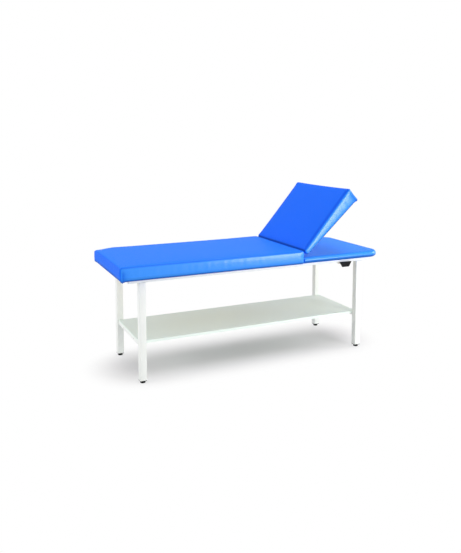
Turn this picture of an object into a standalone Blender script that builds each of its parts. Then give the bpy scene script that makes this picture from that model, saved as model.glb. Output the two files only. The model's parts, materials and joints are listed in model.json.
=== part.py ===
"""Treatment table with a lift-up back.

A welded tube frame with a steel shelf carries a padded top in two sections: a thick main pad and a thin
head deck. A wedge-shaped back is hinged at the step between them and lies on the deck when it is flat. A
curved quadrant arm under the back runs through a slot in the deck and is held by a friction brake, which
a paddle under the near rail lets go.

X runs from the foot end to the head end, the near long side is at -Y, and the origin is on the floor under
the middle of the top. Lengths are in metres.
"""

from math import acos, asin, cos, dist, pi, radians, sin, sqrt

import bmesh
import bpy
from mathutils import Matrix

# Fits
SEAT_GAP = 0.0003
BORE_GAP = 0.0003
SHELF_SIDE_GAP = 0.0005
SLOT_GAP = 0.003

# Padded top
TOP_LENGTH = 1.930
TOP_WIDTH = 0.711
MAIN_THICKNESS = 0.090
DECK_THICKNESS = 0.046
BOARD_THICKNESS = 0.0127
SKIRT = 0.010
PAD_CORNER = 0.014
PAD_EDGE = 0.013
PAD_LOWER_EDGE = 0.006
PAD_CROWN = 0.004
PAD_DRAW = 0.003
DECK_CORNER = 0.095
DECK_CROWN = 0.002
DECK_DRAW = 0.0

# Lift-up back
JOINT_X = 0.320
JOINT_GAP = 0.010
HINGE_DROP = 0.014
BACK_LENGTH = 0.549
BACK_HEAD_THICKNESS = 0.108
BACK_CLEARANCE = 0.005
BACK_CROWN = 0.006
BACK_REST_ANGLE = radians(42)
BUMPER_RADIUS = 0.010
BUMPER_INSET = 0.060

# Frame
RAIL_TOP = 0.672
RAIL_HEIGHT = 0.028
RAIL_WIDTH = 0.0445
RAIL_LENGTH = 1.796
LEG_SPAN_X = 1.670
LEG_SPAN_Y = 0.592
LEG_SIZE = 0.0445
LEG_BOTTOM = 0.018
TUBE_WALL = 0.002
TUBE_CORNER = 0.004
CROSS_WIDTH = 0.0254
PLUG_FLANGE = 0.003
PLUG_DEPTH = 0.018

# Shelf
SHELF_TOP = 0.261
SHELF_SHEET = 0.0015
SHELF_FLANGE = 0.0175
SHELF_LIP = 0.0085
SHELF_RAIL = 0.0254
SHELF_FOLD = 0.003

# Levelling glides
GLIDE_RADIUS = 0.017
GLIDE_RIM = 0.006
GLIDE_DOME = 0.009
STEM_RADIUS = 0.005
STEM_LENGTH = 0.030

# Back hinges
HINGE_Y = 0.165
HINGE_WIDTH = 0.070
LEAF_THICKNESS = 0.0025
LEAF_GAP = 0.0014
LEAF_OVERLAP = 0.022
LEAF_REACH = 0.045
KNUCKLE_RADIUS = 0.0044
KNUCKLE_LENGTH = 0.034
PIN_RADIUS = 0.0025

# Quadrant and brake
QUADRANT_Y = 0.0
QUADRANT_INNER = 0.120
QUADRANT_WIDTH = 0.028
QUADRANT_PLATE = 0.006
QUADRANT_SWEEP = radians(128)
QUADRANT_FOOT = (0.070, 0.040, 0.0027)
BRAKE_DROP = 0.027
BRAKE_LINING = (0.016, 0.004, 0.020)
BRAKE_ARM = 0.007
GUIDE_LENGTH = 0.040
GUIDE_PLATE = 0.004
GUIDE_FOOT = 0.022
SHAFT_Y = 0.035
SHAFT_DROP = 0.048
SHAFT_RADIUS = 0.005
SHAFT_OVERHANG = 0.008
HUB_RADIUS = 0.009
BRACKET_PLATE = 0.004
BRACKET_WIDTH = 0.030
BRACKET_FOOT = 0.022
RING_LENGTH = 0.004
RING_RADIUS = 0.008
SPRING_TURNS = 6
SPRING_WIRE = 0.0016
SPRING_GAP = 0.0006
SPRING_RADIUS = 0.0075

# Release lever and paddle
LEVER_X = 0.685
LEVER_WIDTH = 0.020
LEVER_THICKNESS = 0.005
LEVER_GRIP = 0.008
PADDLE_TOP = 0.097
PADDLE_BOTTOM = 0.055
PADDLE_HEIGHT = 0.036
PADDLE_RISE = 0.024
PADDLE_THICKNESS = 0.012
PADDLE_STANDOFF = 0.007
PADDLE_EDGE = 0.0025

# Facets
CORNER_STEPS = 4
SIDE_STEPS = 12
END_STEPS = 6
EDGE_STEPS = 4
CROWN_STEPS = 5
TUBE_STEPS = 3
ROUND_STEPS = 24
ARC_STEPS = 28

# Places that follow from the sizes above
HALF_LENGTH = TOP_LENGTH / 2
HALF_WIDTH = TOP_WIDTH / 2
PAD_TOP = RAIL_TOP + MAIN_THICKNESS
DECK_TOP = RAIL_TOP + DECK_THICKNESS
PAD_BOTTOM = RAIL_TOP + SEAT_GAP
BOARD_TOP = PAD_BOTTOM + BOARD_THICKNESS
BOARD_BOTTOM = PAD_BOTTOM
MAIN_END = JOINT_X - JOINT_GAP / 2
DECK_START = MAIN_END + SEAT_GAP
RAIL_BOTTOM = RAIL_TOP - RAIL_HEIGHT
RAIL_OUTER = LEG_SPAN_Y / 2
RAIL_INNER = RAIL_OUTER - RAIL_WIDTH
LEG_X = LEG_SPAN_X / 2 - LEG_SIZE / 2
LEG_Y = LEG_SPAN_Y / 2 - LEG_SIZE / 2
LEG_INNER = LEG_SPAN_Y / 2 - LEG_SIZE
LEG_TOP = RAIL_BOTTOM - SEAT_GAP
SHELF_RAIL_TOP = SHELF_TOP - SHELF_LIP - SEAT_GAP
HINGE_Z = PAD_TOP - HINGE_DROP
BACK_UNDER = DECK_TOP + BACK_CLEARANCE - HINGE_Z
BACK_START = JOINT_GAP / 2
BACK_HINGE_THICKNESS = PAD_TOP - DECK_TOP - BACK_CLEARANCE
QUADRANT_OUTER = QUADRANT_INNER + QUADRANT_WIDTH
QUADRANT_MIDDLE = QUADRANT_INNER + QUADRANT_WIDTH / 2
BRAKE_Z = RAIL_TOP - BRAKE_DROP
BRAKE_X = JOINT_X + sqrt(QUADRANT_MIDDLE**2 - (HINGE_Z - BRAKE_Z) ** 2)
SHAFT_Z = RAIL_TOP - SHAFT_DROP
LINING_Y = QUADRANT_Y + QUADRANT_PLATE / 2 + SEAT_GAP
MID_RAIL_FACE = JOINT_X - LEAF_GAP / 2 - LEAF_THICKNESS - SEAT_GAP


def finish(name, colour, roughness, metallic=0.0):
    """A plain material with one colour."""
    material = bpy.data.materials.new(name)
    material.use_nodes = True
    shader = material.node_tree.nodes["Principled BSDF"]
    shader.inputs["Base Color"].default_value = (*colour, 1.0)
    shader.inputs["Roughness"].default_value = roughness
    shader.inputs["Metallic"].default_value = metallic
    return material


def place(name, bm, material=None, parent=None):
    """Makes an object of a bmesh, with smooth round faces."""
    bmesh.ops.remove_doubles(bm, verts=bm.verts, dist=1e-6)
    bmesh.ops.recalc_face_normals(bm, faces=bm.faces)
    mesh = bpy.data.meshes.new(name)
    bm.to_mesh(mesh)
    bm.free()
    mesh.shade_smooth()
    mesh.set_sharp_from_angle(angle=radians(35))
    piece = bpy.data.objects.new(name, mesh)
    bpy.context.scene.collection.objects.link(piece)
    if material:
        mesh.materials.append(material)
    piece.parent = parent
    return piece


def combine(piece, operation, *tools):
    """Joins the tools to the piece or cuts them out of it, and removes them."""
    for tool in tools:
        tool.parent = piece.parent
        modifier = piece.modifiers.new(operation, "BOOLEAN")
        modifier.operation = operation
        modifier.object = tool
    depsgraph = bpy.context.evaluated_depsgraph_get()
    mesh = bpy.data.meshes.new_from_object(piece.evaluated_get(depsgraph))
    piece.modifiers.clear()
    piece.data = mesh
    mesh.shade_smooth()
    mesh.set_sharp_from_angle(angle=radians(35))
    for tool in tools:
        bpy.data.objects.remove(tool)
    return piece


def join(piece, *tools):
    return combine(piece, "UNION", *tools)


def cut(piece, *tools):
    return combine(piece, "DIFFERENCE", *tools)


def box(name, low, high, material=None, parent=None, edge=0.0):
    """A cuboid between two corners, with its edges rounded by edge."""
    bm = bmesh.new()
    bmesh.ops.create_cube(bm, size=1.0)
    size = [b - a for a, b in zip(low, high)]
    bmesh.ops.scale(bm, vec=size, verts=bm.verts)
    bmesh.ops.translate(bm, vec=[(a + b) / 2 for a, b in zip(low, high)], verts=bm.verts)
    if edge:
        bmesh.ops.bevel(bm, geom=bm.edges[:], offset=edge, segments=2, affect="EDGES", profile=0.5)
    return place(name, bm, material, parent)


def along(axis):
    """The turn that lays a shape drawn on XY and raised along Z along the named axis."""
    turns = {"X": ((0, 0, 1), (1, 0, 0), (0, 1, 0)), "Y": ((0, 1, 0), (0, 0, 1), (1, 0, 0))}
    return Matrix(turns.get(axis, ((1, 0, 0), (0, 1, 0), (0, 0, 1)))).to_4x4()


def loop(bm, points, height):
    return [bm.verts.new((x, y, height)) for x, y in points]


def bridge(bm, lower, upper):
    count = len(lower)
    for i in range(count):
        j = (i + 1) % count
        bm.faces.new((lower[i], lower[j], upper[j], upper[i]))


def prism(name, outline, start, end, axis="Z", material=None, parent=None):
    """An outline drawn across an axis and carried along it from start to end."""
    bm = bmesh.new()
    lower = loop(bm, outline, start)
    upper = loop(bm, outline, end)
    bridge(bm, lower, upper)
    bm.faces.new(lower)
    bm.faces.new(upper)
    bmesh.ops.transform(bm, matrix=along(axis), verts=bm.verts)
    return place(name, bm, material, parent)


def rounded_rectangle(low, high, radius, steps=TUBE_STEPS):
    corners = (
        (high[0] - radius, low[1] + radius, -90),
        (high[0] - radius, high[1] - radius, 0),
        (low[0] + radius, high[1] - radius, 90),
        (low[0] + radius, low[1] + radius, 180),
    )
    points = []
    for x, y, first in corners:
        for step in range(steps + 1):
            turn = radians(first + 90 * step / steps)
            points.append((x + radius * cos(turn), y + radius * sin(turn)))
    return points


def tube(name, low, high, start, end, axis, material):
    """A rectangular steel tube, open at both ends."""
    inner_low = [v + TUBE_WALL for v in low]
    inner_high = [v - TUBE_WALL for v in high]
    outer = rounded_rectangle(low, high, TUBE_CORNER)
    inner = rounded_rectangle(inner_low, inner_high, TUBE_CORNER - TUBE_WALL / 2)
    bm = bmesh.new()
    rings = [loop(bm, outer, start), loop(bm, outer, end), loop(bm, inner, end), loop(bm, inner, start)]
    for i in range(4):
        bridge(bm, rings[i], rings[(i + 1) % 4])
    bmesh.ops.transform(bm, matrix=along(axis), verts=bm.verts)
    return place(name, bm, material)


def round_bar(name, radius, start, end, centre, axis, material=None, parent=None):
    """A round bar along an axis, with its centre given in the order in which prism draws across that axis."""
    outline = []
    for step in range(ROUND_STEPS):
        turn = 2 * pi * step / ROUND_STEPS
        outline.append((centre[0] + radius * cos(turn), centre[1] + radius * sin(turn)))
    return prism(name, outline, start, end, axis, material, parent)


def turned(name, profile, centre, material, parent=None):
    """A turned piece: profile points are radius and height, from the foot of the outside to its top."""
    bm = bmesh.new()
    rings = []
    for radius, height in profile:
        points = []
        for step in range(ROUND_STEPS):
            turn = 2 * pi * step / ROUND_STEPS
            points.append((centre[0] + radius * cos(turn), centre[1] + radius * sin(turn)))
        rings.append(loop(bm, points, height))
    for lower, upper in zip(rings, rings[1:]):
        bridge(bm, lower, upper)
    bm.faces.new(rings[0])
    bm.faces.new(rings[-1])
    return place(name, bm, material, parent)


def plan_ring(x_low, x_high, half, radius, inset):
    """A rounded rectangle in plan with evenly spaced points along its sides, drawn in by inset."""
    radius = max(radius - inset, 0.002)
    low, high, side = x_low + inset, x_high - inset, half - inset
    corners = (
        (high - radius, -side + radius, -90, END_STEPS),
        (high - radius, side - radius, 0, SIDE_STEPS),
        (low + radius, side - radius, 90, END_STEPS),
        (low + radius, -side + radius, 180, SIDE_STEPS),
    )
    arcs = []
    for x, y, first, _ in corners:
        turns = [radians(first + 90 * step / CORNER_STEPS) for step in range(CORNER_STEPS + 1)]
        arcs.append([(x + radius * cos(turn), y + radius * sin(turn)) for turn in turns])
    points = []
    for number, arc in enumerate(arcs):
        steps = corners[number][3]
        x0, y0 = arc[-1]
        x1, y1 = arcs[(number + 1) % 4][0]
        points += arc
        points += [(x0 + (x1 - x0) * k / steps, y0 + (y1 - y0) * k / steps) for k in range(1, steps)]
    return points


def cushion(name, x_low, x_high, corner, edge, lower_edge, bottom, top, crown, draw, material, parent=None):
    """A padded block: round edges, sides drawn in between the corners, and a crowned top.

    top gives the height of the upper edge at a place along X.
    """
    middle = (x_low + x_high) / 2
    reach = (x_high - x_low) / 2
    rings = [(lower_edge, None, 0.0)]
    for step in range(1, EDGE_STEPS):
        turn = pi / 2 * step / (EDGE_STEPS - 1)
        rings.append((lower_edge * (1 - sin(turn)), None, lower_edge * (1 - cos(turn))))
    for step in range(EDGE_STEPS):
        turn = pi / 2 * step / (EDGE_STEPS - 1)
        rings.append((edge * (1 - cos(turn)), 0.0, edge * (1 - sin(turn))))
    crown_reach = HALF_WIDTH * 0.85
    for step in range(1, CROWN_STEPS + 1):
        share = step / CROWN_STEPS
        inset = edge + (crown_reach - edge) * share
        rings.append((inset, crown * (1 - (1 - share) ** 2), 0.0))
    bm = bmesh.new()
    loops = []
    for inset, rise, drop in rings:
        vertices = []
        for x, y in plan_ring(x_low, x_high, HALF_WIDTH, corner, inset):
            across = 1 - (y / HALF_WIDTH) ** 2
            lengthways = 1 - ((x - middle) / reach) ** 2
            y -= draw * lengthways * y / HALF_WIDTH
            x -= draw * across * (x - middle) / reach
            height = bottom + drop if rise is None else top(x) + rise - drop
            vertices.append(bm.verts.new((x, y, height)))
        loops.append(vertices)
    for lower, upper in zip(loops, loops[1:]):
        bridge(bm, lower, upper)
    bm.faces.new(loops[0])
    bm.faces.new(loops[-1])
    return place(name, bm, material, parent)


def sides():
    """The near and far long sides: name and sign of Y."""
    return (("near", -1), ("far", 1))


def ends():
    """The foot and head ends: name and sign of X."""
    return (("foot", -1), ("head", 1))


for old in list(bpy.data.objects):
    bpy.data.objects.remove(old)

VINYL = finish("blue_vinyl", (0.030, 0.130, 0.900), 0.42)
PLYWOOD = finish("plywood", (0.55, 0.38, 0.20), 0.65)
WHITE = finish("white_powder_coat", (0.80, 0.84, 0.80), 0.35)
SHEET = finish("shelf_enamel", (0.66, 0.73, 0.67), 0.22)
BLACK = finish("black_plastic", (0.012, 0.012, 0.013), 0.45)
RUBBER = finish("black_rubber", (0.02, 0.02, 0.02), 0.80)
ZINC = finish("zinc_plated_steel", (0.60, 0.61, 0.62), 0.32, 1.0)
LINING = finish("brake_lining", (0.10, 0.075, 0.055), 0.90)


def make_frame():
    """Legs, side rails, cross rails and shelf rails of welded tube, with the plastic plugs in their ends."""
    for end, sx in ends():
        x = sx * LEG_X
        for side, sy in sides():
            y = sy * LEG_Y
            low = (x - LEG_SIZE / 2, y - LEG_SIZE / 2)
            high = (x + LEG_SIZE / 2, y + LEG_SIZE / 2)
            tube(f"leg_{end}_{side}", low, high, LEG_BOTTOM, LEG_TOP, "Z", WHITE)
            make_leg_plug(f"leg_plug_{end}_{side}", x, y)
            make_glide(f"levelling_glide_{end}_{side}", x, y)
        x_low, x_high = x - CROSS_WIDTH / 2, x + CROSS_WIDTH / 2
        length = RAIL_INNER - SEAT_GAP
        tube(f"end_rail_{end}", (RAIL_BOTTOM, x_low), (RAIL_TOP, x_high), -length, length, "Y", WHITE)
        x_low, x_high = x - SHELF_RAIL / 2, x + SHELF_RAIL / 2
        length = LEG_INNER - SEAT_GAP
        low, high = (SHELF_RAIL_TOP - SHELF_RAIL, x_low), (SHELF_RAIL_TOP, x_high)
        tube(f"shelf_rail_{end}", low, high, -length, length, "Y", WHITE)
    for side, sy in sides():
        y_low, y_high = sorted((sy * RAIL_OUTER, sy * RAIL_INNER))
        low, high = (y_low, RAIL_BOTTOM), (y_high, RAIL_TOP)
        tube(f"side_rail_{side}", low, high, -RAIL_LENGTH / 2, RAIL_LENGTH / 2, "X", WHITE)
        for end, sx in ends():
            make_rail_plug(f"rail_plug_{end}_{side}", low, high, sx)
    length = RAIL_INNER - SEAT_GAP
    low, high = (RAIL_BOTTOM, MID_RAIL_FACE - CROSS_WIDTH), (RAIL_TOP, MID_RAIL_FACE)
    tube("hinge_rail", low, high, -length, length, "Y", WHITE)


def make_leg_plug(name, x, y):
    """A square plug pressed into the foot of a leg, with a bore for the glide's stem."""
    rim = LEG_SIZE / 2
    core = rim - TUBE_WALL - SEAT_GAP
    radius = TUBE_CORNER - TUBE_WALL / 2
    flange_top = LEG_BOTTOM - SEAT_GAP
    outline = rounded_rectangle((x - rim, y - rim), (x + rim, y + rim), TUBE_CORNER)
    plug = prism(name, outline, flange_top - PLUG_FLANGE, flange_top, "Z", BLACK)
    outline = rounded_rectangle((x - core, y - core), (x + core, y + core), radius)
    core_bottom = flange_top - PLUG_FLANGE / 2
    join(plug, prism("core", outline, core_bottom, flange_top + PLUG_DEPTH))
    bore = STEM_RADIUS + BORE_GAP
    through = flange_top + 2 * PLUG_DEPTH
    cut(plug, round_bar("bore", bore, 0.0, through, (x, y), "Z"))


def make_glide(name, x, y):
    """A levelling glide: a domed foot on a stem that screws into the plug."""
    profile = (
        (GLIDE_RADIUS - GLIDE_RIM / 3, 0.0),
        (GLIDE_RADIUS, GLIDE_RIM / 3),
        (GLIDE_RADIUS, GLIDE_RIM),
        (STEM_RADIUS * 2, GLIDE_DOME),
        (STEM_RADIUS, GLIDE_DOME),
        (STEM_RADIUS, STEM_LENGTH),
    )
    turned(name, profile, (x, y), BLACK)


def make_rail_plug(name, low, high, sx):
    """A plug that closes the end of a side rail."""
    face = sx * (RAIL_LENGTH / 2 + SEAT_GAP)
    rim = face + sx * PLUG_FLANGE
    start, end = sorted((face, rim))
    plug = prism(name, rounded_rectangle(low, high, TUBE_CORNER), start, end, "X", WHITE)
    wall = TUBE_WALL + SEAT_GAP
    core_low = [v + wall for v in low]
    core_high = [v - wall for v in high]
    outline = rounded_rectangle(core_low, core_high, TUBE_CORNER - TUBE_WALL / 2)
    start, end = sorted((face - sx * PLUG_DEPTH, face + sx * PLUG_FLANGE / 2))
    join(plug, prism("core", outline, start, end, "X"))


def make_shelf():
    """A folded steel shelf: deep flanges along its sides, shallow lips that sit on the shelf rails."""
    half_length = LEG_X + SHELF_RAIL / 2
    half_width = LEG_INNER - SHELF_SIDE_GAP
    bottom = SHELF_TOP - SHELF_FLANGE
    shelf = box("shelf", (-half_length, -half_width, bottom), (half_length, half_width, SHELF_TOP), SHEET)
    fold = shelf.modifiers.new("fold", "BEVEL")
    fold.width = SHELF_FOLD
    fold.segments = 3
    fold.limit_method = "WEIGHT"
    weights = shelf.data.attributes.new("bevel_weight_edge", "FLOAT", "EDGE")
    for edge in shelf.data.edges:
        ends_high = all(shelf.data.vertices[v].co.z > SHELF_TOP - SHELF_SHEET for v in edge.vertices)
        weights.data[edge.index].value = 1.0 if ends_high else 0.0
    inside_x, inside_y = half_length - SHELF_SHEET, half_width - SHELF_SHEET
    inside = box("inside", (-inside_x, -inside_y, bottom - 0.01), (inside_x, inside_y, SHELF_TOP - SHELF_SHEET))
    lip = SHELF_TOP - SHELF_LIP
    cuts = [inside]
    for _, sx in ends():
        x_low, x_high = sorted((sx * (LEG_X - SHELF_RAIL / 2 - SLOT_GAP), sx * (half_length + 0.01)))
        cuts.append(box("lip", (x_low, -half_width - 0.01, bottom - 0.01), (x_high, half_width + 0.01, lip)))
    cut(shelf, *cuts)


def make_main_section():
    """The thick main pad and the plywood board that it is stretched over."""
    foot = -HALF_LENGTH
    edge = PAD_TOP
    pad = cushion(
        "main_pad", foot, MAIN_END, PAD_CORNER, PAD_EDGE, PAD_LOWER_EDGE, PAD_BOTTOM,
        lambda x: edge, PAD_CROWN, PAD_DRAW, VINYL,
    )
    low = (foot + SKIRT, -HALF_WIDTH + SKIRT, BOARD_BOTTOM)
    high = (MAIN_END - SKIRT, HALF_WIDTH - SKIRT, BOARD_TOP)
    cut(pad, seat_for_board(low, high))
    box("main_board", low, high, PLYWOOD)


def seat_for_board(low, high):
    """The hollow under a pad that its board fills."""
    return box(
        "seat",
        (low[0] - SEAT_GAP, low[1] - SEAT_GAP, low[2] - 0.02),
        (high[0] + SEAT_GAP, high[1] + SEAT_GAP, high[2] + SEAT_GAP),
    )


def quadrant_slot():
    """The slot that the quadrant arm swings through, down through the deck."""
    top = HINGE_Z - DECK_TOP
    bottom = HINGE_Z - BOARD_BOTTOM
    x_low = JOINT_X + sqrt(QUADRANT_INNER**2 - bottom**2) - SLOT_GAP
    x_high = JOINT_X + sqrt(QUADRANT_OUTER**2 - top**2) + SLOT_GAP
    half = QUADRANT_PLATE / 2 + SLOT_GAP
    low = (x_low, QUADRANT_Y - half, BOARD_BOTTOM - 0.02)
    return box("slot", low, (x_high, QUADRANT_Y + half, DECK_TOP + 0.02))


def make_head_deck():
    """The thin deck under the back, round at its head corners, with its board, hinge notches and slot."""
    bullnose = (DECK_TOP - DECK_CROWN - PAD_BOTTOM) / 2
    edge = DECK_TOP - DECK_CROWN
    pad = cushion(
        "deck_pad", DECK_START - 2 * DECK_CORNER, HALF_LENGTH, DECK_CORNER, bullnose, bullnose, PAD_BOTTOM,
        lambda x: edge, DECK_CROWN, DECK_DRAW, VINYL,
    )
    far_low = (DECK_START - 4 * DECK_CORNER, -TOP_WIDTH, 0.0)
    cut(pad, box("trim", far_low, (DECK_START, TOP_WIDTH, 2 * PAD_TOP)))
    x_low, x_high = DECK_START + SKIRT, HALF_LENGTH - bullnose
    half = HALF_WIDTH - bullnose
    plan = deck_board_plan(x_low, x_high, half, DECK_CORNER - bullnose)
    seat = deck_board_plan(
        x_low - SEAT_GAP, x_high + SEAT_GAP, half + SEAT_GAP, DECK_CORNER - bullnose + SEAT_GAP
    )
    cuts = [prism("seat", seat, BOARD_BOTTOM - 0.02, BOARD_TOP + SEAT_GAP), quadrant_slot()]
    for _, sy in sides():
        half_notch = HINGE_WIDTH / 2 + SLOT_GAP
        low = (DECK_START - 0.01, sy * HINGE_Y - half_notch, BOARD_BOTTOM - 0.02)
        high = (JOINT_X + SEAT_GAP, sy * HINGE_Y + half_notch, DECK_TOP + 0.02)
        cuts.append(box("notch", low, high))
    cut(pad, *cuts)
    board = prism("deck_board", plan, BOARD_BOTTOM, BOARD_TOP, "Z", PLYWOOD)
    cut(board, quadrant_slot())


def deck_board_plan(x_low, x_high, half, radius):
    """The deck board's outline: square at the joint and round at the head corners."""
    points = [(x_low, half), (x_low, -half)]
    for y, first in ((-half + radius, -90), (half - radius, 0)):
        for step in range(2 * CORNER_STEPS + 1):
            turn = radians(first + 90 * step / (2 * CORNER_STEPS))
            points.append((x_high - radius + radius * cos(turn), y + radius * sin(turn)))
    return points


def make_back(pivot):
    """The wedge-shaped back pad with its board and bumpers, drawn flat about the hinge axis."""
    start, end = BACK_START, BACK_START + BACK_LENGTH
    slope = (BACK_HEAD_THICKNESS - BACK_HINGE_THICKNESS) / BACK_LENGTH

    def top(x):
        return BACK_UNDER + BACK_HINGE_THICKNESS + slope * (x - start)

    pad = cushion(
        "back_pad", start, end, PAD_CORNER, PAD_EDGE, PAD_LOWER_EDGE, BACK_UNDER,
        top, BACK_CROWN, PAD_DRAW, VINYL, pivot,
    )
    low = (start + SKIRT, -HALF_WIDTH + SKIRT, BACK_UNDER)
    high = (end - SKIRT, HALF_WIDTH - SKIRT, BACK_UNDER + BOARD_THICKNESS)
    cut(pad, seat_for_board(low, high))
    box("back_board", low, high, PLYWOOD, pivot)
    bumper_top = BACK_UNDER - SEAT_GAP
    bumper_bottom = BACK_UNDER - BACK_CLEARANCE + SEAT_GAP
    for side, sy in sides():
        for place_name, x in (("low", start + BACK_LENGTH / 2), ("high", end - BUMPER_INSET)):
            y = sy * (HALF_WIDTH - BUMPER_INSET)
            profile = ((BUMPER_RADIUS * 0.85, bumper_bottom), (BUMPER_RADIUS, bumper_top))
            turned(f"bumper_{place_name}_{side}", profile, (x, y), RUBBER, pivot)


def knuckle_arc(first, last):
    """The round of a hinge knuckle about the hinge axis, as places across Y."""
    turns = [first + (last - first) * step / ROUND_STEPS for step in range(ROUND_STEPS + 1)]
    return [(KNUCKLE_RADIUS * sin(turn), KNUCKLE_RADIUS * cos(turn)) for turn in turns]


def make_hinges(pivot):
    """Two butt hinges: a leaf up the hinge rail, a leaf under the back, and the pin through their knuckles."""
    inner, outer = LEAF_GAP / 2, LEAF_GAP / 2 + LEAF_THICKNESS
    inner_turn, outer_turn = acos(inner / KNUCKLE_RADIUS), acos(outer / KNUCKLE_RADIUS)
    bottom = RAIL_TOP - LEAF_OVERLAP - HINGE_Z
    fixed = [(bottom, -outer), (bottom, -inner)]
    fixed += knuckle_arc(inner_turn - pi, pi + outer_turn)
    fixed = [(z + HINGE_Z, x + JOINT_X) for z, x in fixed]
    foot_top = BACK_UNDER - SEAT_GAP
    foot_bottom = foot_top - LEAF_THICKNESS
    moving = [(foot_bottom, inner), (foot_bottom, LEAF_REACH), (foot_top, LEAF_REACH), (foot_top, outer)]
    moving += knuckle_arc(-outer_turn, 2 * pi - inner_turn)
    bore = PIN_RADIUS + BORE_GAP
    free = -KNUCKLE_RADIUS - 2 * BORE_GAP
    for side, sy in sides():
        y = sy * HINGE_Y
        y_low, y_high = y - HINGE_WIDTH / 2, y + HINGE_WIDTH / 2
        k_low, k_high = y - KNUCKLE_LENGTH / 2, y + KNUCKLE_LENGTH / 2
        leaf = prism(f"hinge_leaf_fixed_{side}", fixed, y_low, y_high, "Y", ZINC)
        cuts = [round_bar("bore", bore, y_low - 0.01, y_high + 0.01, (HINGE_Z, JOINT_X), "Y")]
        for low, high in ((y_low - 0.01, k_low), (k_high, y_high + 0.01)):
            cuts.append(box("end", (JOINT_X - 0.01, low, HINGE_Z + free), (JOINT_X + 0.01, high, HINGE_Z + 0.01)))
        cut(leaf, *cuts)
        leaf = prism(f"hinge_leaf_moving_{side}", moving, y_low, y_high, "Y", ZINC, pivot)
        middle = box("middle", (-0.01, k_low - BORE_GAP, free), (0.01, k_high + BORE_GAP, 0.01))
        cut(leaf, round_bar("bore", bore, y_low - 0.01, y_high + 0.01, (0.0, 0.0), "Y"), middle)
        round_bar(f"hinge_pin_{side}", PIN_RADIUS, y_low, y_high, (HINGE_Z, JOINT_X), "Y", ZINC)


def arc(radius, first, last):
    turns = [first + (last - first) * step / ARC_STEPS for step in range(ARC_STEPS + 1)]
    return [(radius * sin(turn), radius * cos(turn)) for turn in turns]


def make_quadrant(pivot):
    """The curved arm under the back, flat-bar steel on a foot that is screwed to the back board."""
    foot_length, foot_width, foot_plate = QUADRANT_FOOT
    foot_top = BACK_UNDER - SEAT_GAP
    sink = foot_top - foot_plate / 2
    outline = arc(QUADRANT_OUTER, asin(sink / QUADRANT_OUTER), -QUADRANT_SWEEP)
    outline += arc(QUADRANT_INNER, -QUADRANT_SWEEP, asin(sink / QUADRANT_INNER))
    y_low, y_high = QUADRANT_Y - QUADRANT_PLATE / 2, QUADRANT_Y + QUADRANT_PLATE / 2
    arm = prism("quadrant_arm", outline, y_low, y_high, "Y", ZINC, pivot)
    low = (QUADRANT_MIDDLE - foot_length / 2, QUADRANT_Y - foot_width / 2, foot_top - foot_plate)
    high = (QUADRANT_MIDDLE + foot_length / 2, QUADRANT_Y + foot_width / 2, foot_top)
    join(arm, box("foot", low, high))


def hub_arc(first, last):
    """The round of a hub about the release shaft, as places across X."""
    turns = [first + (last - first) * step / ROUND_STEPS for step in range(ROUND_STEPS + 1)]
    return [(SHAFT_Y + HUB_RADIUS * cos(turn), SHAFT_Z + HUB_RADIUS * sin(turn)) for turn in turns]


def shaft_bore(start, end):
    return round_bar("bore", SHAFT_RADIUS + BORE_GAP, start - 0.01, end + 0.01, (SHAFT_Y, SHAFT_Z), "X")


def make_brake():
    """The brake under the deck: a guide plate beside the quadrant and a lined arm on the release shaft."""
    face = QUADRANT_Y - QUADRANT_PLATE / 2 - SEAT_GAP
    back = face - GUIDE_PLATE
    top = BOARD_BOTTOM - SEAT_GAP
    bottom = BRAKE_Z - BRAKE_LINING[2]
    toe = face - GUIDE_FOOT
    outline = (
        (face, bottom), (face, top), (toe, top), (toe, top - GUIDE_PLATE), (back, top - GUIDE_PLATE), (back, bottom)
    )
    prism("quadrant_guide", outline, BRAKE_X - GUIDE_LENGTH / 2, BRAKE_X + GUIDE_LENGTH / 2, "X", ZINC)
    length, thickness, height = BRAKE_LINING
    x_low, x_high = BRAKE_X - length / 2, BRAKE_X + length / 2
    lining_back = LINING_Y + thickness
    z_low, z_high = BRAKE_Z - height / 2, BRAKE_Z + height / 2
    box("brake_lining", (x_low, LINING_Y, z_low), (x_high, lining_back, z_high), LINING)
    front = lining_back + SEAT_GAP
    web_bottom = SHAFT_Z - HUB_RADIUS
    web_top = web_bottom + BRAKE_ARM
    outline = [(front + BRAKE_ARM, web_top), (front + BRAKE_ARM, z_high), (front, z_high), (front, web_bottom)]
    outline += hub_arc(-pi / 2, pi + asin((SHAFT_Z - web_top) / HUB_RADIUS))
    arm = prism("brake_arm", outline, x_low, x_high, "X", ZINC)
    cut(arm, shaft_bore(x_low, x_high))


def make_release():
    """The release shaft under the deck with its brackets, rings and spring, and the lever and its paddle."""
    hub_low = BRAKE_X - BRAKE_LINING[0] / 2
    inner_bracket = hub_low - SEAT_GAP - BRACKET_PLATE
    outer_bracket = LEVER_X + LEVER_WIDTH / 2 + SEAT_GAP
    start = inner_bracket - RING_LENGTH - SHAFT_OVERHANG
    end = outer_bracket + BRACKET_PLATE + RING_LENGTH + SHAFT_OVERHANG
    centre = (SHAFT_Y, SHAFT_Z)
    round_bar("release_shaft", SHAFT_RADIUS, start, end, centre, "X", ZINC)
    make_bracket("shaft_bracket_hinge", inner_bracket, -1)
    make_bracket("shaft_bracket_head", outer_bracket, 1)
    make_ring("shaft_ring_hinge", inner_bracket - SEAT_GAP - RING_LENGTH)
    make_ring("shaft_ring_head", outer_bracket + BRACKET_PLATE + SEAT_GAP)
    make_lever()
    make_paddle()
    make_spring(hub_low + BRAKE_LINING[0] + SEAT_GAP)


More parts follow.
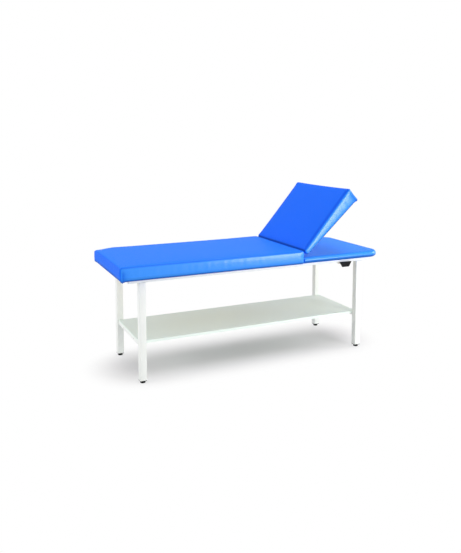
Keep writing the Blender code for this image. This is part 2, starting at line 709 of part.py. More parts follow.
def make_bracket(name, x, toe):
    """An angle bracket under the deck board with a bearing hole for the shaft; toe is the side its foot is on."""
    top = BOARD_BOTTOM - SEAT_GAP
    bottom = SHAFT_Z - HUB_RADIUS
    near, far = (x, x + BRACKET_PLATE) if toe > 0 else (x + BRACKET_PLATE, x)
    tip = near + toe * BRACKET_FOOT
    shoulder = top - BRACKET_PLATE
    outline = ((bottom, near), (top, near), (top, tip), (shoulder, tip), (shoulder, far), (bottom, far))
    y_low, y_high = SHAFT_Y - BRACKET_WIDTH / 2, SHAFT_Y + BRACKET_WIDTH / 2
    bracket = prism(name, outline, y_low, y_high, "Y", ZINC)
    cut(bracket, shaft_bore(x, x + BRACKET_PLATE))


def make_ring(name, x):
    """A retaining ring on the end of the shaft."""
    ring = round_bar(name, RING_RADIUS, x, x + RING_LENGTH, (SHAFT_Y, SHAFT_Z), "X", ZINC)
    cut(ring, shaft_bore(x, x + RING_LENGTH))


def paddle_back():
    """The Y of the paddle's inner face, in front of the near rail."""
    return -RAIL_OUTER - PADDLE_STANDOFF


def make_lever():
    """A flat steel lever that is clamped on the shaft and reaches under the near rail to the paddle."""
    x_low, x_high = LEVER_X - LEVER_WIDTH / 2, LEVER_X + LEVER_WIDTH / 2
    half = LEVER_THICKNESS / 2
    tip = paddle_back() - LEVER_GRIP
    rise = asin(half / HUB_RADIUS)
    outline = [(tip, SHAFT_Z + half), (tip, SHAFT_Z - half)] + hub_arc(rise - pi, pi - rise)
    lever = prism("release_lever", outline, x_low, x_high, "X", ZINC)
    cut(lever, shaft_bore(x_low, x_high))


def make_paddle():
    """The black grip on the lever, wider at its top, with a socket for the lever's tip."""
    top, bottom = SHAFT_Z + PADDLE_RISE, SHAFT_Z + PADDLE_RISE - PADDLE_HEIGHT
    outline = (
        (top, LEVER_X - PADDLE_TOP / 2),
        (top, LEVER_X + PADDLE_TOP / 2),
        (bottom, LEVER_X + PADDLE_BOTTOM / 2),
        (bottom, LEVER_X - PADDLE_BOTTOM / 2),
    )
    back = paddle_back()
    paddle = prism("release_paddle", outline, back - PADDLE_THICKNESS, back, "Y", BLACK)
    rounding = paddle.modifiers.new("edge", "BEVEL")
    rounding.width = PADDLE_EDGE
    rounding.segments = 3
    half_width = LEVER_WIDTH / 2 + SEAT_GAP
    half = LEVER_THICKNESS / 2 + SEAT_GAP
    low = (LEVER_X - half_width, back - LEVER_GRIP - SEAT_GAP, SHAFT_Z - half)
    cut(paddle, box("socket", low, (LEVER_X + half_width, back + 0.01, SHAFT_Z + half)))


def make_spring(start):
    """The coiled torsion spring round the shaft, beside the brake arm."""
    pitch = SPRING_WIRE + SPRING_GAP
    steps = 10
    points = []
    for step in range(SPRING_TURNS * steps + 1):
        turn = 2 * pi * step / steps
        x = start + SPRING_WIRE / 2 + pitch * step / steps
        points.append((x, SHAFT_Y + SPRING_RADIUS * cos(turn), SHAFT_Z + SPRING_RADIUS * sin(turn)))
    gap = min(dist(a, b) for a, b in zip(points, points[steps:])) - SPRING_WIRE
    print(f"return_spring: least gap to itself {gap * 1000:.2f} mm")
    curve = bpy.data.curves.new("return_spring", "CURVE")
    curve.dimensions = "3D"
    curve.bevel_depth = SPRING_WIRE / 2
    curve.bevel_resolution = 1
    curve.use_fill_caps = True
    spline = curve.splines.new("POLY")
    spline.points.add(len(points) - 1)
    for point, place_of in zip(spline.points, points):
        point.co = (*place_of, 1.0)
    curve.materials.append(ZINC)
    spring = bpy.data.objects.new("return_spring", curve)
    bpy.context.scene.collection.objects.link(spring)


def make_pivot():
    """The empty on the back's hinge axis, turned to the angle at which the back stands."""
    pivot = bpy.data.objects.new("back_pivot", None)
    bpy.context.scene.collection.objects.link(pivot)
    pivot.location = (JOINT_X, 0.0, HINGE_Z)
    pivot.rotation_euler = (0.0, -BACK_REST_ANGLE, 0.0)
    return pivot


make_frame()
make_shelf()
make_main_section()
make_head_deck()
back_pivot = make_pivot()
make_back(back_pivot)
make_hinges(back_pivot)
make_quadrant(back_pivot)
make_brake()
make_release()
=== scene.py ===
import json
from math import cos, pi, radians, sin

import bmesh
import bpy
import numpy as np
from mathutils import Matrix, Vector

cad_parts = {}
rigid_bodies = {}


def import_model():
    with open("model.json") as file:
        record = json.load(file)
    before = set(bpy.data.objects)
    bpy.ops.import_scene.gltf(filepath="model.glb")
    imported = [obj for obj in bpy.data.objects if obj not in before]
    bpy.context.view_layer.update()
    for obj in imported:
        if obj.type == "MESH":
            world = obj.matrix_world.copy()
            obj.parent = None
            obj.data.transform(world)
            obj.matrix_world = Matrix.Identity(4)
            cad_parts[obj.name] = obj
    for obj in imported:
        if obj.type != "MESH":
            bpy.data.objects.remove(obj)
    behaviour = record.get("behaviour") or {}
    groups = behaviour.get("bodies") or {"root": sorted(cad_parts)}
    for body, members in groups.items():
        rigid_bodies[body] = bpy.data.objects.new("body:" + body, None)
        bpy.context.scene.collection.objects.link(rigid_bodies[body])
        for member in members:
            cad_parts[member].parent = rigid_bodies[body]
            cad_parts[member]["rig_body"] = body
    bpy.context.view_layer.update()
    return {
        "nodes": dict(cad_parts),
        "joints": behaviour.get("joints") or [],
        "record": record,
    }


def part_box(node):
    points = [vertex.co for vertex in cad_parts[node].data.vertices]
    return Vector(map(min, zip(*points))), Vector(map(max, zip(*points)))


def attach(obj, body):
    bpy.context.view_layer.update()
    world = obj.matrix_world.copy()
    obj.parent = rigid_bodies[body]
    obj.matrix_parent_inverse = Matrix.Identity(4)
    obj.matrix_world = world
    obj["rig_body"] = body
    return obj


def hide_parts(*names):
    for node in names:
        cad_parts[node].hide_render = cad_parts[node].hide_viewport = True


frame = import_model()

# Tube frame
# Square legs, flat side rails and cross rails of mild steel tube, cut square, welded and powder coated white.
# The side rails carry the padded top, and a rail between each pair of legs carries the shelf.
COAT_DULL = (0.850, 0.885, 0.850)
COAT_WHITE = (0.880, 0.910, 0.880)
COAT_SCUFFED = (0.50, 0.50, 0.46)
SCUFFED_BELOW = 0.16
SCUFFED_MOST = 0.02
MERGE_WITHIN = 2e-5
FLAT_WITHIN = radians(0.4)
EASED_OVER = radians(50)


class Wire:
    """An output socket of a material. Arithmetic on it adds Math nodes, and node() adds any other node."""

    def __init__(self, tree, socket=None):
        self.tree = tree
        self.socket = socket

    def node(self, kind, settings, inputs, output=0):
        made = self.tree.nodes.new("ShaderNode" + kind)
        for name, value in settings.items():
            if name == "stops":
                while len(made.color_ramp.elements) < len(value):
                    made.color_ramp.elements.new(0.5)
                for element, (position, colour) in zip(made.color_ramp.elements, value):
                    element.position = position
                    element.color = colour
            else:
                setattr(made, name, value)
        for name, value in inputs.items():
            self.feed(made.inputs[name], value)
        return Wire(self.tree, made.outputs[output])

    def feed(self, socket, value):
        if isinstance(value, Wire):
            self.tree.links.new(value.socket, socket)
        else:
            socket.default_value = value

    def math(self, operation, first, second):
        return self.node("Math", {"operation": operation}, {0: first, 1: second})

    def __add__(self, other):
        return self.math("ADD", self, other)

    def __radd__(self, other):
        return self.math("ADD", other, self)

    def __sub__(self, other):
        return self.math("SUBTRACT", self, other)

    def __rsub__(self, other):
        return self.math("SUBTRACT", other, self)

    def __mul__(self, other):
        return self.math("MULTIPLY", self, other)

    def __rmul__(self, other):
        return self.math("MULTIPLY", other, self)

    def __pow__(self, other):
        return self.math("POWER", self, other)


def coating(name, settings):
    """A new material: the material, a wire to build its nodes with, and its shader's sockets."""
    material = bpy.data.materials.new(name)
    material.use_nodes = True
    tree = material.node_tree
    sockets = tree.nodes["Principled BSDF"].inputs
    for socket, value in settings.items():
        sockets[socket].default_value = value
    return material, Wire(tree), sockets


def place_on(wire):
    """The place on the piece, in metres."""
    return wire.node("TexCoord", {}, {}, "Object")


def speckle(wire, place, scale, detail=2.0):
    """Noise from 0 to 1 over the piece."""
    return wire.node("TexNoise", {}, {"Vector": place, "Scale": scale, "Detail": detail})


def stretched(wire, place, scale):
    """The place with each axis scaled on its own."""
    return wire.node("Mapping", {}, {"Vector": place, "Scale": scale})


def share_of(wire, value, low, high):
    """0 where a value is at low, 1 where it is at high, and in proportion between them."""
    return wire.node("MapRange", {}, {"Value": value, "From Min": low, "From Max": high})


def shade(wire, mask, dark, light):
    """A colour between two, by a mask. Each is three numbers, or a wire that carries a colour."""
    ends = [colour if isinstance(colour, Wire) else (*colour, 1.0) for colour in (dark, light)]
    return wire.node("Mix", {"data_type": "RGBA"}, {0: mask, 6: ends[0], 7: ends[1]}, 2)


def dent(wire, sockets, height, distance):
    """Bumps the surface by a height from 0 to 1."""
    wire.feed(sockets["Normal"], wire.node("Bump", {}, {"Height": height, "Distance": distance}))


def powder_coat():
    """White powder coat with a faint orange peel, scuffed near the floor."""
    material, wire, sockets = coating("white_powder_coat", {"Specular IOR Level": 0.5})
    place = place_on(wire)
    height = wire.node("SeparateXYZ", {}, {"Vector": place}, "Z")
    scuff = speckle(wire, stretched(wire, place, (60.0, 60.0, 14.0)), 1.0, 5.0)
    worn = share_of(wire, scuff, 0.56, 0.72) * share_of(wire, height, SCUFFED_BELOW, SCUFFED_MOST)
    clean = shade(wire, speckle(wire, place, 5.0), COAT_DULL, COAT_WHITE)
    wire.feed(sockets["Base Color"], shade(wire, 0.35 * worn, clean, COAT_SCUFFED))
    wire.feed(sockets["Roughness"], 0.30 + 0.10 * speckle(wire, place, 40.0) + 0.15 * worn)
    dent(wire, sockets, speckle(wire, place, 420.0, 1.0), 0.00012)
    return material


def merged_copy(node):
    """A CAD solid's mesh with its loose triangles joined into faces."""
    mesh = frame["nodes"][node].data.copy()
    mesh.name = node
    if "custom_normal" in mesh.attributes:
        mesh.attributes.remove(mesh.attributes["custom_normal"])
    bm = bmesh.new()
    bm.from_mesh(mesh)
    bmesh.ops.remove_doubles(bm, verts=bm.verts, dist=MERGE_WITHIN)
    bmesh.ops.dissolve_limit(bm, angle_limit=FLAT_WITHIN, verts=bm.verts, edges=bm.edges)
    bm.to_mesh(mesh)
    bm.free()
    return mesh


def put(name, data):
    """A new object in the scene."""
    made = bpy.data.objects.new(name, data)
    bpy.context.scene.collection.objects.link(made)
    return made


def settle(name, mesh, body, material, nodes=(), angle=35.0):
    """Puts a finished mesh in the scene: smooth where it is round, riding on its body, for its CAD nodes."""
    mesh.materials.clear()
    mesh.materials.append(material)
    mesh.shade_smooth()
    mesh.set_sharp_from_angle(angle=radians(angle))
    piece = put(name, mesh)
    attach(piece, body)
    if nodes:
        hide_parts(*nodes)
    return piece


node_slots = {entry["node"]: entry["material_slot"] for entry in frame["record"]["subparts"]}


def dress(node, material, edge=0.0):
    """A CAD solid with eased edges and a finish, in the solid's place."""
    body = frame["nodes"][node]["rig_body"]
    piece = settle(node + "_finished", merged_copy(node), body, material, [node])
    if edge:
        ease = piece.modifiers.new("ease", "BEVEL")
        ease.width = edge
        ease.segments = 2
        ease.limit_method = "ANGLE"
        ease.angle_limit = EASED_OVER


white_coat = powder_coat()
for tube_name in sorted(frame["nodes"]):
    if node_slots[tube_name] == "white_powder_coat":
        dress(tube_name, white_coat)

# Weld beads
# Fillets of weld metal where the tubes meet, under the same white coat: across the top of each leg, round the
# ends of the shelf rails and down the ends of the upper cross rails.
BEAD_RADIUS = 0.0021
BEAD_RIPPLE = 0.0034
BEAD_RIPPLE_DEPTH = 0.10
BEAD_POINTS_APART = 0.0009
LEG_SETBACK = 0.005
SHELF_RAIL_SETBACK = 0.004
END_RAIL_SETBACK = 0.003


def bead_lines():
    """The lines that are welded, as pairs of points."""
    lines = []
    for end in ("foot", "head"):
        for side in ("near", "far"):
            low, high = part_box(f"leg_{end}_{side}")
            for x in (low.x, high.x):
                lines.append(((x, low.y + LEG_SETBACK, high.z), (x, high.y - LEG_SETBACK, high.z)))
        for rail, setback in (("shelf_rail", SHELF_RAIL_SETBACK), ("end_rail", END_RAIL_SETBACK)):
            low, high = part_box(f"{rail}_{end}")
            for y in (low.y, high.y):
                for x in (low.x, high.x):
                    lines.append(((x, y, low.z + setback), (x, y, high.z - setback)))
                lines.append(((low.x + setback, y, low.z), (high.x - setback, y, low.z)))
    low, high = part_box("hinge_rail")
    for y in (low.y, high.y):
        lines.append(((low.x, y, low.z + END_RAIL_SETBACK), (low.x, y, high.z - END_RAIL_SETBACK)))
    return lines


def line_mesh(name, lines):
    """A mesh of straight lines, each given by its two ends."""
    mesh = bpy.data.meshes.new(name)
    ends = [point for line in lines for point in line]
    mesh.from_pydata(ends, [(number, number + 1) for number in range(0, len(ends), 2)], [])
    return mesh


def new_tree(name, sizes):
    """A Geometry Nodes tree, the outputs that give its named inputs, and its last node."""
    tree = bpy.data.node_groups.new(name, "GeometryNodeTree")
    tree.interface.new_socket("Geometry", in_out="INPUT", socket_type="NodeSocketGeometry")
    for size_name, kind in sizes.items():
        tree.interface.new_socket(size_name, in_out="INPUT", socket_type="NodeSocket" + kind)
    tree.interface.new_socket("Geometry", in_out="OUTPUT", socket_type="NodeSocketGeometry")
    return tree, tree.nodes.new("NodeGroupInput").outputs, tree.nodes.new("NodeGroupOutput")


def step(tree, kind, settings, links, output=0):
    """Adds a node to a Geometry Nodes tree and gives one of its outputs. links are values or outputs."""
    made = tree.nodes.new(kind)
    for name, value in settings.items():
        setattr(made, name, value)
    for name, value in links.items():
        if isinstance(value, bpy.types.NodeSocket):
            tree.links.new(value, made.inputs[name])
        else:
            made.inputs[name].default_value = value
    return made.outputs[output]


def figure(tree, operation, *values):
    """A sum in a Geometry Nodes tree."""
    return step(tree, "ShaderNodeMath", {"operation": operation}, dict(enumerate(values)))


def even_path(tree, lines, spacing):
    """The lines of a mesh as curves with evenly spaced points."""
    path = step(tree, "GeometryNodeMeshToCurve", {}, {"Mesh": lines})
    return step(tree, "GeometryNodeResampleCurve", {"mode": "LENGTH"}, {"Curve": path, "Length": spacing})


def close_tree(tree, result, geometry, material):
    """Ends a tree, with its instances made real and its material set."""
    real = step(tree, "GeometryNodeRealizeInstances", {}, {"Geometry": geometry})
    coated = step(tree, "GeometryNodeSetMaterial", {}, {"Geometry": real, "Material": material})
    tree.links.new(coated, result.inputs["Geometry"])
    return tree


def evaluated(holder):
    """The plain mesh that an object's modifiers make of it. The object is removed."""
    graph = bpy.context.evaluated_depsgraph_get()
    made = bpy.data.meshes.new_from_object(holder.evaluated_get(graph))
    made.name = holder.data.name
    bpy.data.objects.remove(holder)
    return made


def run_tree(name, mesh, tree, values):
    """Runs a tree on a mesh and returns the plain mesh that comes of it."""
    holder = put(name, mesh)
    modifier = holder.modifiers.new("build", "NODES")
    modifier.node_group = tree
    for item in tree.interface.items_tree:
        if item.in_out == "INPUT" and item.name in values:
            modifier[item.identifier] = values[item.name]
    holder.update_tag()
    made = evaluated(holder)
    made.name = name
    return made


def bead_tree():
    """A round bead along each line of a mesh, rippled as the weld was laid."""
    sizes = {"Bead Radius": "Float", "Ripple Spacing": "Float", "Ripple Depth": "Float"}
    sizes |= {"Points Apart": "Float", "Coat": "Material"}
    tree, given, result = new_tree("weld_bead", sizes)
    path = even_path(tree, given["Geometry"], given["Points Apart"])
    travelled = step(tree, "GeometryNodeSplineParameter", {}, {}, "Length")
    turns = figure(tree, "DIVIDE", travelled, given["Ripple Spacing"])
    wave = figure(tree, "SINE", figure(tree, "MULTIPLY", turns, 2 * pi))
    swell = figure(tree, "MULTIPLY_ADD", wave, given["Ripple Depth"], 1.0)
    radius = figure(tree, "MULTIPLY", swell, given["Bead Radius"])
    circle = step(tree, "GeometryNodeCurvePrimitiveCircle", {}, {"Resolution": 8, "Radius": 1.0})
    links = {"Curve": path, "Profile Curve": circle, "Scale": radius, "Fill Caps": True}
    return close_tree(tree, result, step(tree, "GeometryNodeCurveToMesh", {}, links), given["Coat"])


bead_sizes = {
    "Bead Radius": BEAD_RADIUS, "Ripple Spacing": BEAD_RIPPLE, "Ripple Depth": BEAD_RIPPLE_DEPTH,
    "Points Apart": BEAD_POINTS_APART, "Coat": white_coat,
}
bead_mesh = run_tree("weld_beads", line_mesh("bead_path", bead_lines()), bead_tree(), bead_sizes)
settle("weld_beads", bead_mesh, "table", white_coat)

# Tube plugs
# Moulded caps. White ones close the ends of the side rails, and black square ones are pressed into the feet
# of the legs, with a flange that shows as a dark line under each leg.
RAIL_PLUG_EDGE = 0.0008
LEG_PLUG_EDGE = 0.0006


def moulded(name, dark, light, roughness, grain):
    """Injection-moulded plastic with a fine spark-eroded grain."""
    material, wire, sockets = coating(name, {"Specular IOR Level": 0.05})
    place = place_on(wire)
    wire.feed(sockets["Base Color"], shade(wire, speckle(wire, place, 60.0), dark, light))
    wire.feed(sockets["Roughness"], roughness + 0.12 * speckle(wire, place, 220.0))
    dent(wire, sockets, speckle(wire, place, grain, 3.0), 0.00008)
    return material


white_plastic = moulded("white_plastic", (0.78, 0.82, 0.78), (0.83, 0.86, 0.83), 0.30, 900.0)
black_plastic = moulded("black_plastic", (0.010, 0.010, 0.011), (0.018, 0.018, 0.019), 0.38, 1400.0)
for plug_end in ("foot", "head"):
    for plug_side in ("near", "far"):
        dress(f"rail_plug_{plug_end}_{plug_side}", white_plastic, RAIL_PLUG_EDGE)
        dress(f"leg_plug_{plug_end}_{plug_side}", black_plastic, LEG_PLUG_EDGE)

# Levelling glides
# A black nylon foot moulded on a threaded stem, with a jam nut. The stem screws into the leg's plug, so that
# the table stands level on an uneven floor.
FOOT_HEIGHT = 0.0090
# Points up the foot: how far in from its widest place, and how high.
FOOT_INSETS = (
    (0.0028, 0.0), (0.0012, 0.0005), (0.0002, 0.0018), (0.0, 0.0036), (0.0003, 0.0052), (0.0016, 0.0064),
)
# Points up its neck: radius and height.
NECK_RADII = ((0.0128, 0.0074), (0.0105, 0.0086), (0.0098, FOOT_HEIGHT), (0.0044, FOOT_HEIGHT))
STEM_RADIUS = 0.0050
STEM_TIP = 0.0038
THREAD_PITCH = 0.0015
THREAD_DEPTH = 0.0006
NUT_ACROSS = 0.017
NUT_LOW = 0.0093
NUT_HIGH = 0.0141
NUT_CHAMFER = 0.0008
NUT_EASE = 0.0005


def join_rings(bm, rings):
    """Quads between each ring of points and the next."""
    for ring, beside in zip(rings, rings[1:]):
        for here in range(len(ring)):
            after = (here + 1) % len(ring)
            bm.faces.new((ring[here], ring[after], beside[after], beside[here]))


def spun(profile, centre, sides=40):
    """A turned shape. The profile's points are radius and height, up the outside."""
    bm = bmesh.new()
    turns = [2 * pi * number / sides for number in range(sides)]
    rings = []
    for radius, height in profile:
        spots = [(centre[0] + radius * cos(turn), centre[1] + radius * sin(turn), height) for turn in turns]
        rings.append([bm.verts.new(spot) for spot in spots])
    join_rings(bm, rings)
    bm.faces.new(list(reversed(rings[0])))
    bm.faces.new(rings[-1])
    return bm


def to_mesh(name, *shapes):
    """One mesh of several shapes, with its faces turned outwards."""
    mesh = bpy.data.meshes.new(name)
    whole = bmesh.new()
    for shape in shapes:
        shape.to_mesh(mesh)
        shape.free()
        whole.from_mesh(mesh)
    bmesh.ops.recalc_face_normals(whole, faces=whole.faces)
    whole.to_mesh(mesh)
    whole.free()
    return mesh


def glide_mesh(name, low, high):
    """The foot, the threaded stem and the jam nut, on one centre line."""
    centre = ((low.x + high.x) / 2, (low.y + high.y) / 2)
    base = (high.x - low.x) / 2
    foot = [(base - inset, low.z + height) for inset, height in FOOT_INSETS]
    foot += [(radius, low.z + height) for radius, height in NECK_RADII]
    stem = []
    height = low.z + FOOT_HEIGHT
    while height < high.z - THREAD_PITCH:
        crest = [(STEM_RADIUS, height + share * THREAD_PITCH) for share in (0.4, 0.6)]
        stem += [(STEM_RADIUS - THREAD_DEPTH, height), *crest]
        height += THREAD_PITCH
    stem += [(STEM_RADIUS - THREAD_DEPTH, height), (STEM_TIP, high.z)]
    nut_radius = NUT_ACROSS / 2 / cos(pi / 6)
    nut_low = low.z + NUT_LOW
    nut_high = low.z + NUT_HIGH
    nut = [(nut_radius - NUT_CHAMFER, nut_low), (nut_radius, nut_low + NUT_EASE)]
    nut += [(nut_radius, nut_high - NUT_EASE), (nut_radius - NUT_CHAMFER, nut_high)]
    return to_mesh(name, spun(foot, centre), spun(stem, centre, 20), spun(nut, centre, 6))


for glide_end in ("foot", "head"):
    for glide_side in ("near", "far"):
        glide_node = f"levelling_glide_{glide_end}_{glide_side}"
        glide_body = f"glide_{glide_end}_{glide_side}"
        glide = glide_mesh(glide_node, *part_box(glide_node))
        settle(glide_node + "_finished", glide, glide_body, black_plastic, [glide_node])

# Shelf
# One sheet of steel, folded down along its sides and ends and baked in pale grey-green enamel. Its end lips
# sit on the shelf rails.
ENAMEL_DULL = (0.815, 0.925, 0.860)
ENAMEL_PALE = (0.840, 0.940, 0.880)
ENAMEL_RUBBED = (0.70, 0.80, 0.74)


def enamel():
    """Baked enamel, rubbed in fine streaks along the shelf."""
    material, wire, sockets = coating("shelf_enamel", {"Specular IOR Level": 0.3})
    place = place_on(wire)
    scratch = speckle(wire, stretched(wire, place, (9.0, 160.0, 40.0)), 1.0, 6.0)
    rubbed = share_of(wire, scratch, 0.60, 0.80)
    clean = shade(wire, speckle(wire, place, 2.2), ENAMEL_DULL, ENAMEL_PALE)
    wire.feed(sockets["Base Color"], shade(wire, 0.12 * rubbed, clean, ENAMEL_RUBBED))
    wire.feed(sockets["Roughness"], 0.44 + 0.08 * speckle(wire, place, 18.0) - 0.06 * rubbed)
    dent(wire, sockets, speckle(wire, place, 300.0, 1.0), 0.00008)
    return material


dress("shelf", enamel())

# Boards
# Birch plywood under each pad, cut to the pad's plan. The foam is glued to it, and the cover is drawn round
# its edges.
BIRCH_STOPS = (
    (0.20, (0.46, 0.31, 0.17, 1.0)),
    (0.55, (0.64, 0.47, 0.28, 1.0)),
    (0.90, (0.74, 0.58, 0.38, 1.0)),
)
BOARD_EDGE = 0.0004


def plywood():
    """Birch veneer, with its grain along the table."""
    material, wire, sockets = coating("birch_plywood", {"Specular IOR Level": 0.3})
    place = place_on(wire)
    wander = speckle(wire, stretched(wire, place, (2.0, 9.0, 9.0)), 1.0, 3.0)
    fibre = speckle(wire, stretched(wire, place, (12.0, 320.0, 320.0)), 1.0, 4.0)
    wave = {"Vector": place, "Scale": 11.0, "Distortion": 5.0, "Detail": 2.0}
    rings = wire.node("TexWave", {"bands_direction": "Y"}, wave)
    grain = 0.28 * rings + 0.38 * wander + 0.40 * fibre
    wire.feed(sockets["Base Color"], wire.node("ValToRGB", {"stops": BIRCH_STOPS}, {"Fac": grain}))
    wire.feed(sockets["Roughness"], 0.55 + 0.20 * fibre)
    dent(wire, sockets, fibre, 0.00015)
    return material


birch = plywood()
for board_name in ("main_board", "deck_board", "back_board"):
    dress(board_name, birch, BOARD_EDGE)

# Main pad
# Firm foam in a blue expanded-vinyl cover with a fine leather grain, pulled tight and tucked at the corners.
# There are three such pads, and the main one, a thick block that is sewn along its upper edge, comes first.
VINYL_DEEP = (0.012, 0.148, 0.930)
VINYL_BLUE = (0.015, 0.160, 0.980)
# Painted light: a paler blue where the pads catch more light, on the long sides and in part on the ends and
# tops.
VINYL_PAINTED_PALE = (0.024, 0.290, 0.99)
# Painted shade: a darker blue along the upper edges, in a strip along the back's face and in the corner
# tucks.
VINYL_PAINTED_EDGE_SHADE = (0.006, 0.085, 0.75)
# Painted shade: a deep navy under the lower edges and in the cleft where the pads meet.
VINYL_PAINTED_UNDER_SHADE = (0.004, 0.050, 0.26)
# Painted shade: a darker blue in the creases between the grain's cells.
VINYL_GRAIN_SHADE = (0.012, 0.11, 0.70)
PAD_STEP = 0.014
FINE_OVER = 0.020
FINE_ROWS = 5
ON_EDGE = 1e-6
LEAST_SIDE = 0.001
LEAST_CORNER = 0.0005
DROOP_REACH = 0.07
DROOP_DEPTH = 0.09
CROWNED_AT = 0.85
BAND_FADE = 2.5
SIDE_BLEND = 0.015
RIM_WIDTH = 0.004
# The least painted shade on a lower edge's roll.
UNDER_SHADE_LEAST = 0.35
SWELL_PRESSURE = 4.0
SWELL_FRAMES = 20
SEAT_GAP = 0.0006
SEAT_OPEN = 0.02
TUCK_AT = 0.012
TUCK_WRAP = 0.012
TUCK_DEPTH = 0.0036
TUCK_LENGTH = 0.018
TUCK_FOLD = 0.0016
LIP_WIDTH = 0.005
LIP_RISE = 0.0012
BUNCH_AT = 0.013
BUNCH_ALONG = 0.016
BUNCH_ACROSS = 0.022
BUNCH_DEPTH = 0.0085
FOLD_WAVE = 0.0022
FOLD_SHARE = 0.2
PUCKER_REACH = 0.030
PUCKER_WITHIN = 0.02
PUCKER_TOP = 0.006
PUCKER_BELOW = 0.012
PUCKER_BASE = 0.008
PUCKER_FADE = 0.02
PUCKER_SIDE = 0.8
END_WAVE_SHIFT = 0.37
SIDE_WAVE_SHIFT = 0.021
MAIN_EDGE_DROP = 0.0040
MAIN_HELD_UP = 0.004
MAIN_HELD_IN = 0.012
MAIN_SWELL = 0.0022
MAIN_PUCKER = 0.0007


def marked(wire, name):
    """What the mesh says of each place under a name, from 0 to 1."""
    return wire.node("Attribute", {"attribute_name": name}, {}, "Fac")


def vinyl():
    """Blue vinyl, glossier on the sides, with a painted paleness there and painted shade along its edges and
    creases.
    """
    material, wire, sockets = coating("blue_vinyl", {"Specular IOR Level": 0.04, "Coat Roughness": 0.26})
    place = place_on(wire)
    cloud = speckle(wire, place, 3.0)
    pores = speckle(wire, place, 1500.0)
    cells = wire.node("TexVoronoi", {"feature": "DISTANCE_TO_EDGE"}, {"Vector": place, "Scale": 420.0})
    grains = share_of(wire, cells, 0.0, 0.18)
    # side carries the real gloss of the stretched sides and also their painted paleness; drawn and turned
    # carry painted shade.
    side = marked(wire, "side")
    drawn = marked(wire, "drawn")
    turned = marked(wire, "turned")
    gloss = side**6
    colour = shade(wire, cloud, VINYL_DEEP, VINYL_BLUE)
    # Painted light: the paler blue where side is marked.
    colour = shade(wire, side, colour, VINYL_PAINTED_PALE)
    # Painted shade along the upper edges, in the back's edge strip and in the corner tucks.
    colour = shade(wire, 0.60 * drawn, colour, VINYL_PAINTED_EDGE_SHADE)
    # Painted shade under the lower edges and in the joints' clefts.
    colour = shade(wire, 0.80 * turned, colour, VINYL_PAINTED_UNDER_SHADE)
    # Painted shade in the grain's creases.
    colour = shade(wire, 0.20 * (1 - grains), colour, VINYL_GRAIN_SHADE)
    wire.feed(sockets["Base Color"], colour)
    wire.feed(sockets["Roughness"], 0.47 + 0.05 * cloud + 0.04 * pores - 0.22 * gloss)
    # The coat is kept off the painted shade.
    wire.feed(sockets["Coat Weight"], 0.85 * gloss * (1 - turned) * (1 - drawn))
    hand = speckle(wire, stretched(wire, place, (9.0, 6.0, 9.0)), 1.0, 3.0)
    dent(wire, sockets, (0.7 * grains + 0.3 * pores) * (1 - 0.8 * gloss) + hand, 0.00030)
    return material


def rows_between(low, high):
    """Places from low to high, fine near each end and even between."""
    inner = max(2, round((high - low - 2 * FINE_OVER) / PAD_STEP))
    fine = np.linspace(0.0, 1.0, FINE_ROWS + 1)
    middle = np.linspace(low + FINE_OVER, high - FINE_OVER, inner + 1)
    return np.concatenate([low + FINE_OVER * fine[:-1], middle, high - FINE_OVER * fine[::-1][1:]])


def rolled(depth, radius):
    """How far a round edge lies in from its two faces, for a place that far from the sharp edge on one."""
    turn = radians(45) * (1 - min(depth / radius, 1.0))
    return radius * (1 - cos(turn)), radius * (1 - sin(turn))


def on_outline(x, y, box_low, box_high, now, inset, corner):
    """Moves a place from a rectangle drawn in by now to one drawn in by inset, with round corners."""
    moved, centre, past = [], [], []
    for value, low, high in zip((x, y), box_low, box_high):
        share = (value - low - now) / max(high - low - 2 * now, ON_EDGE)
        place = low + inset + share * (high - low - 2 * inset)
        moved.append(place)
        centre.append(low + corner if place < (low + high) / 2 else high - corner)
        past.append(max(low + corner - place, place - high + corner))
    if corner - inset > LEAST_CORNER and min(past) > 0:
        away = Vector((moved[0] - centre[0], moved[1] - centre[1]))
        away = away.normalized() * max(abs(away.x), abs(away.y))
        moved = [centre[0] + away.x, centre[1] + away.y]
    return moved


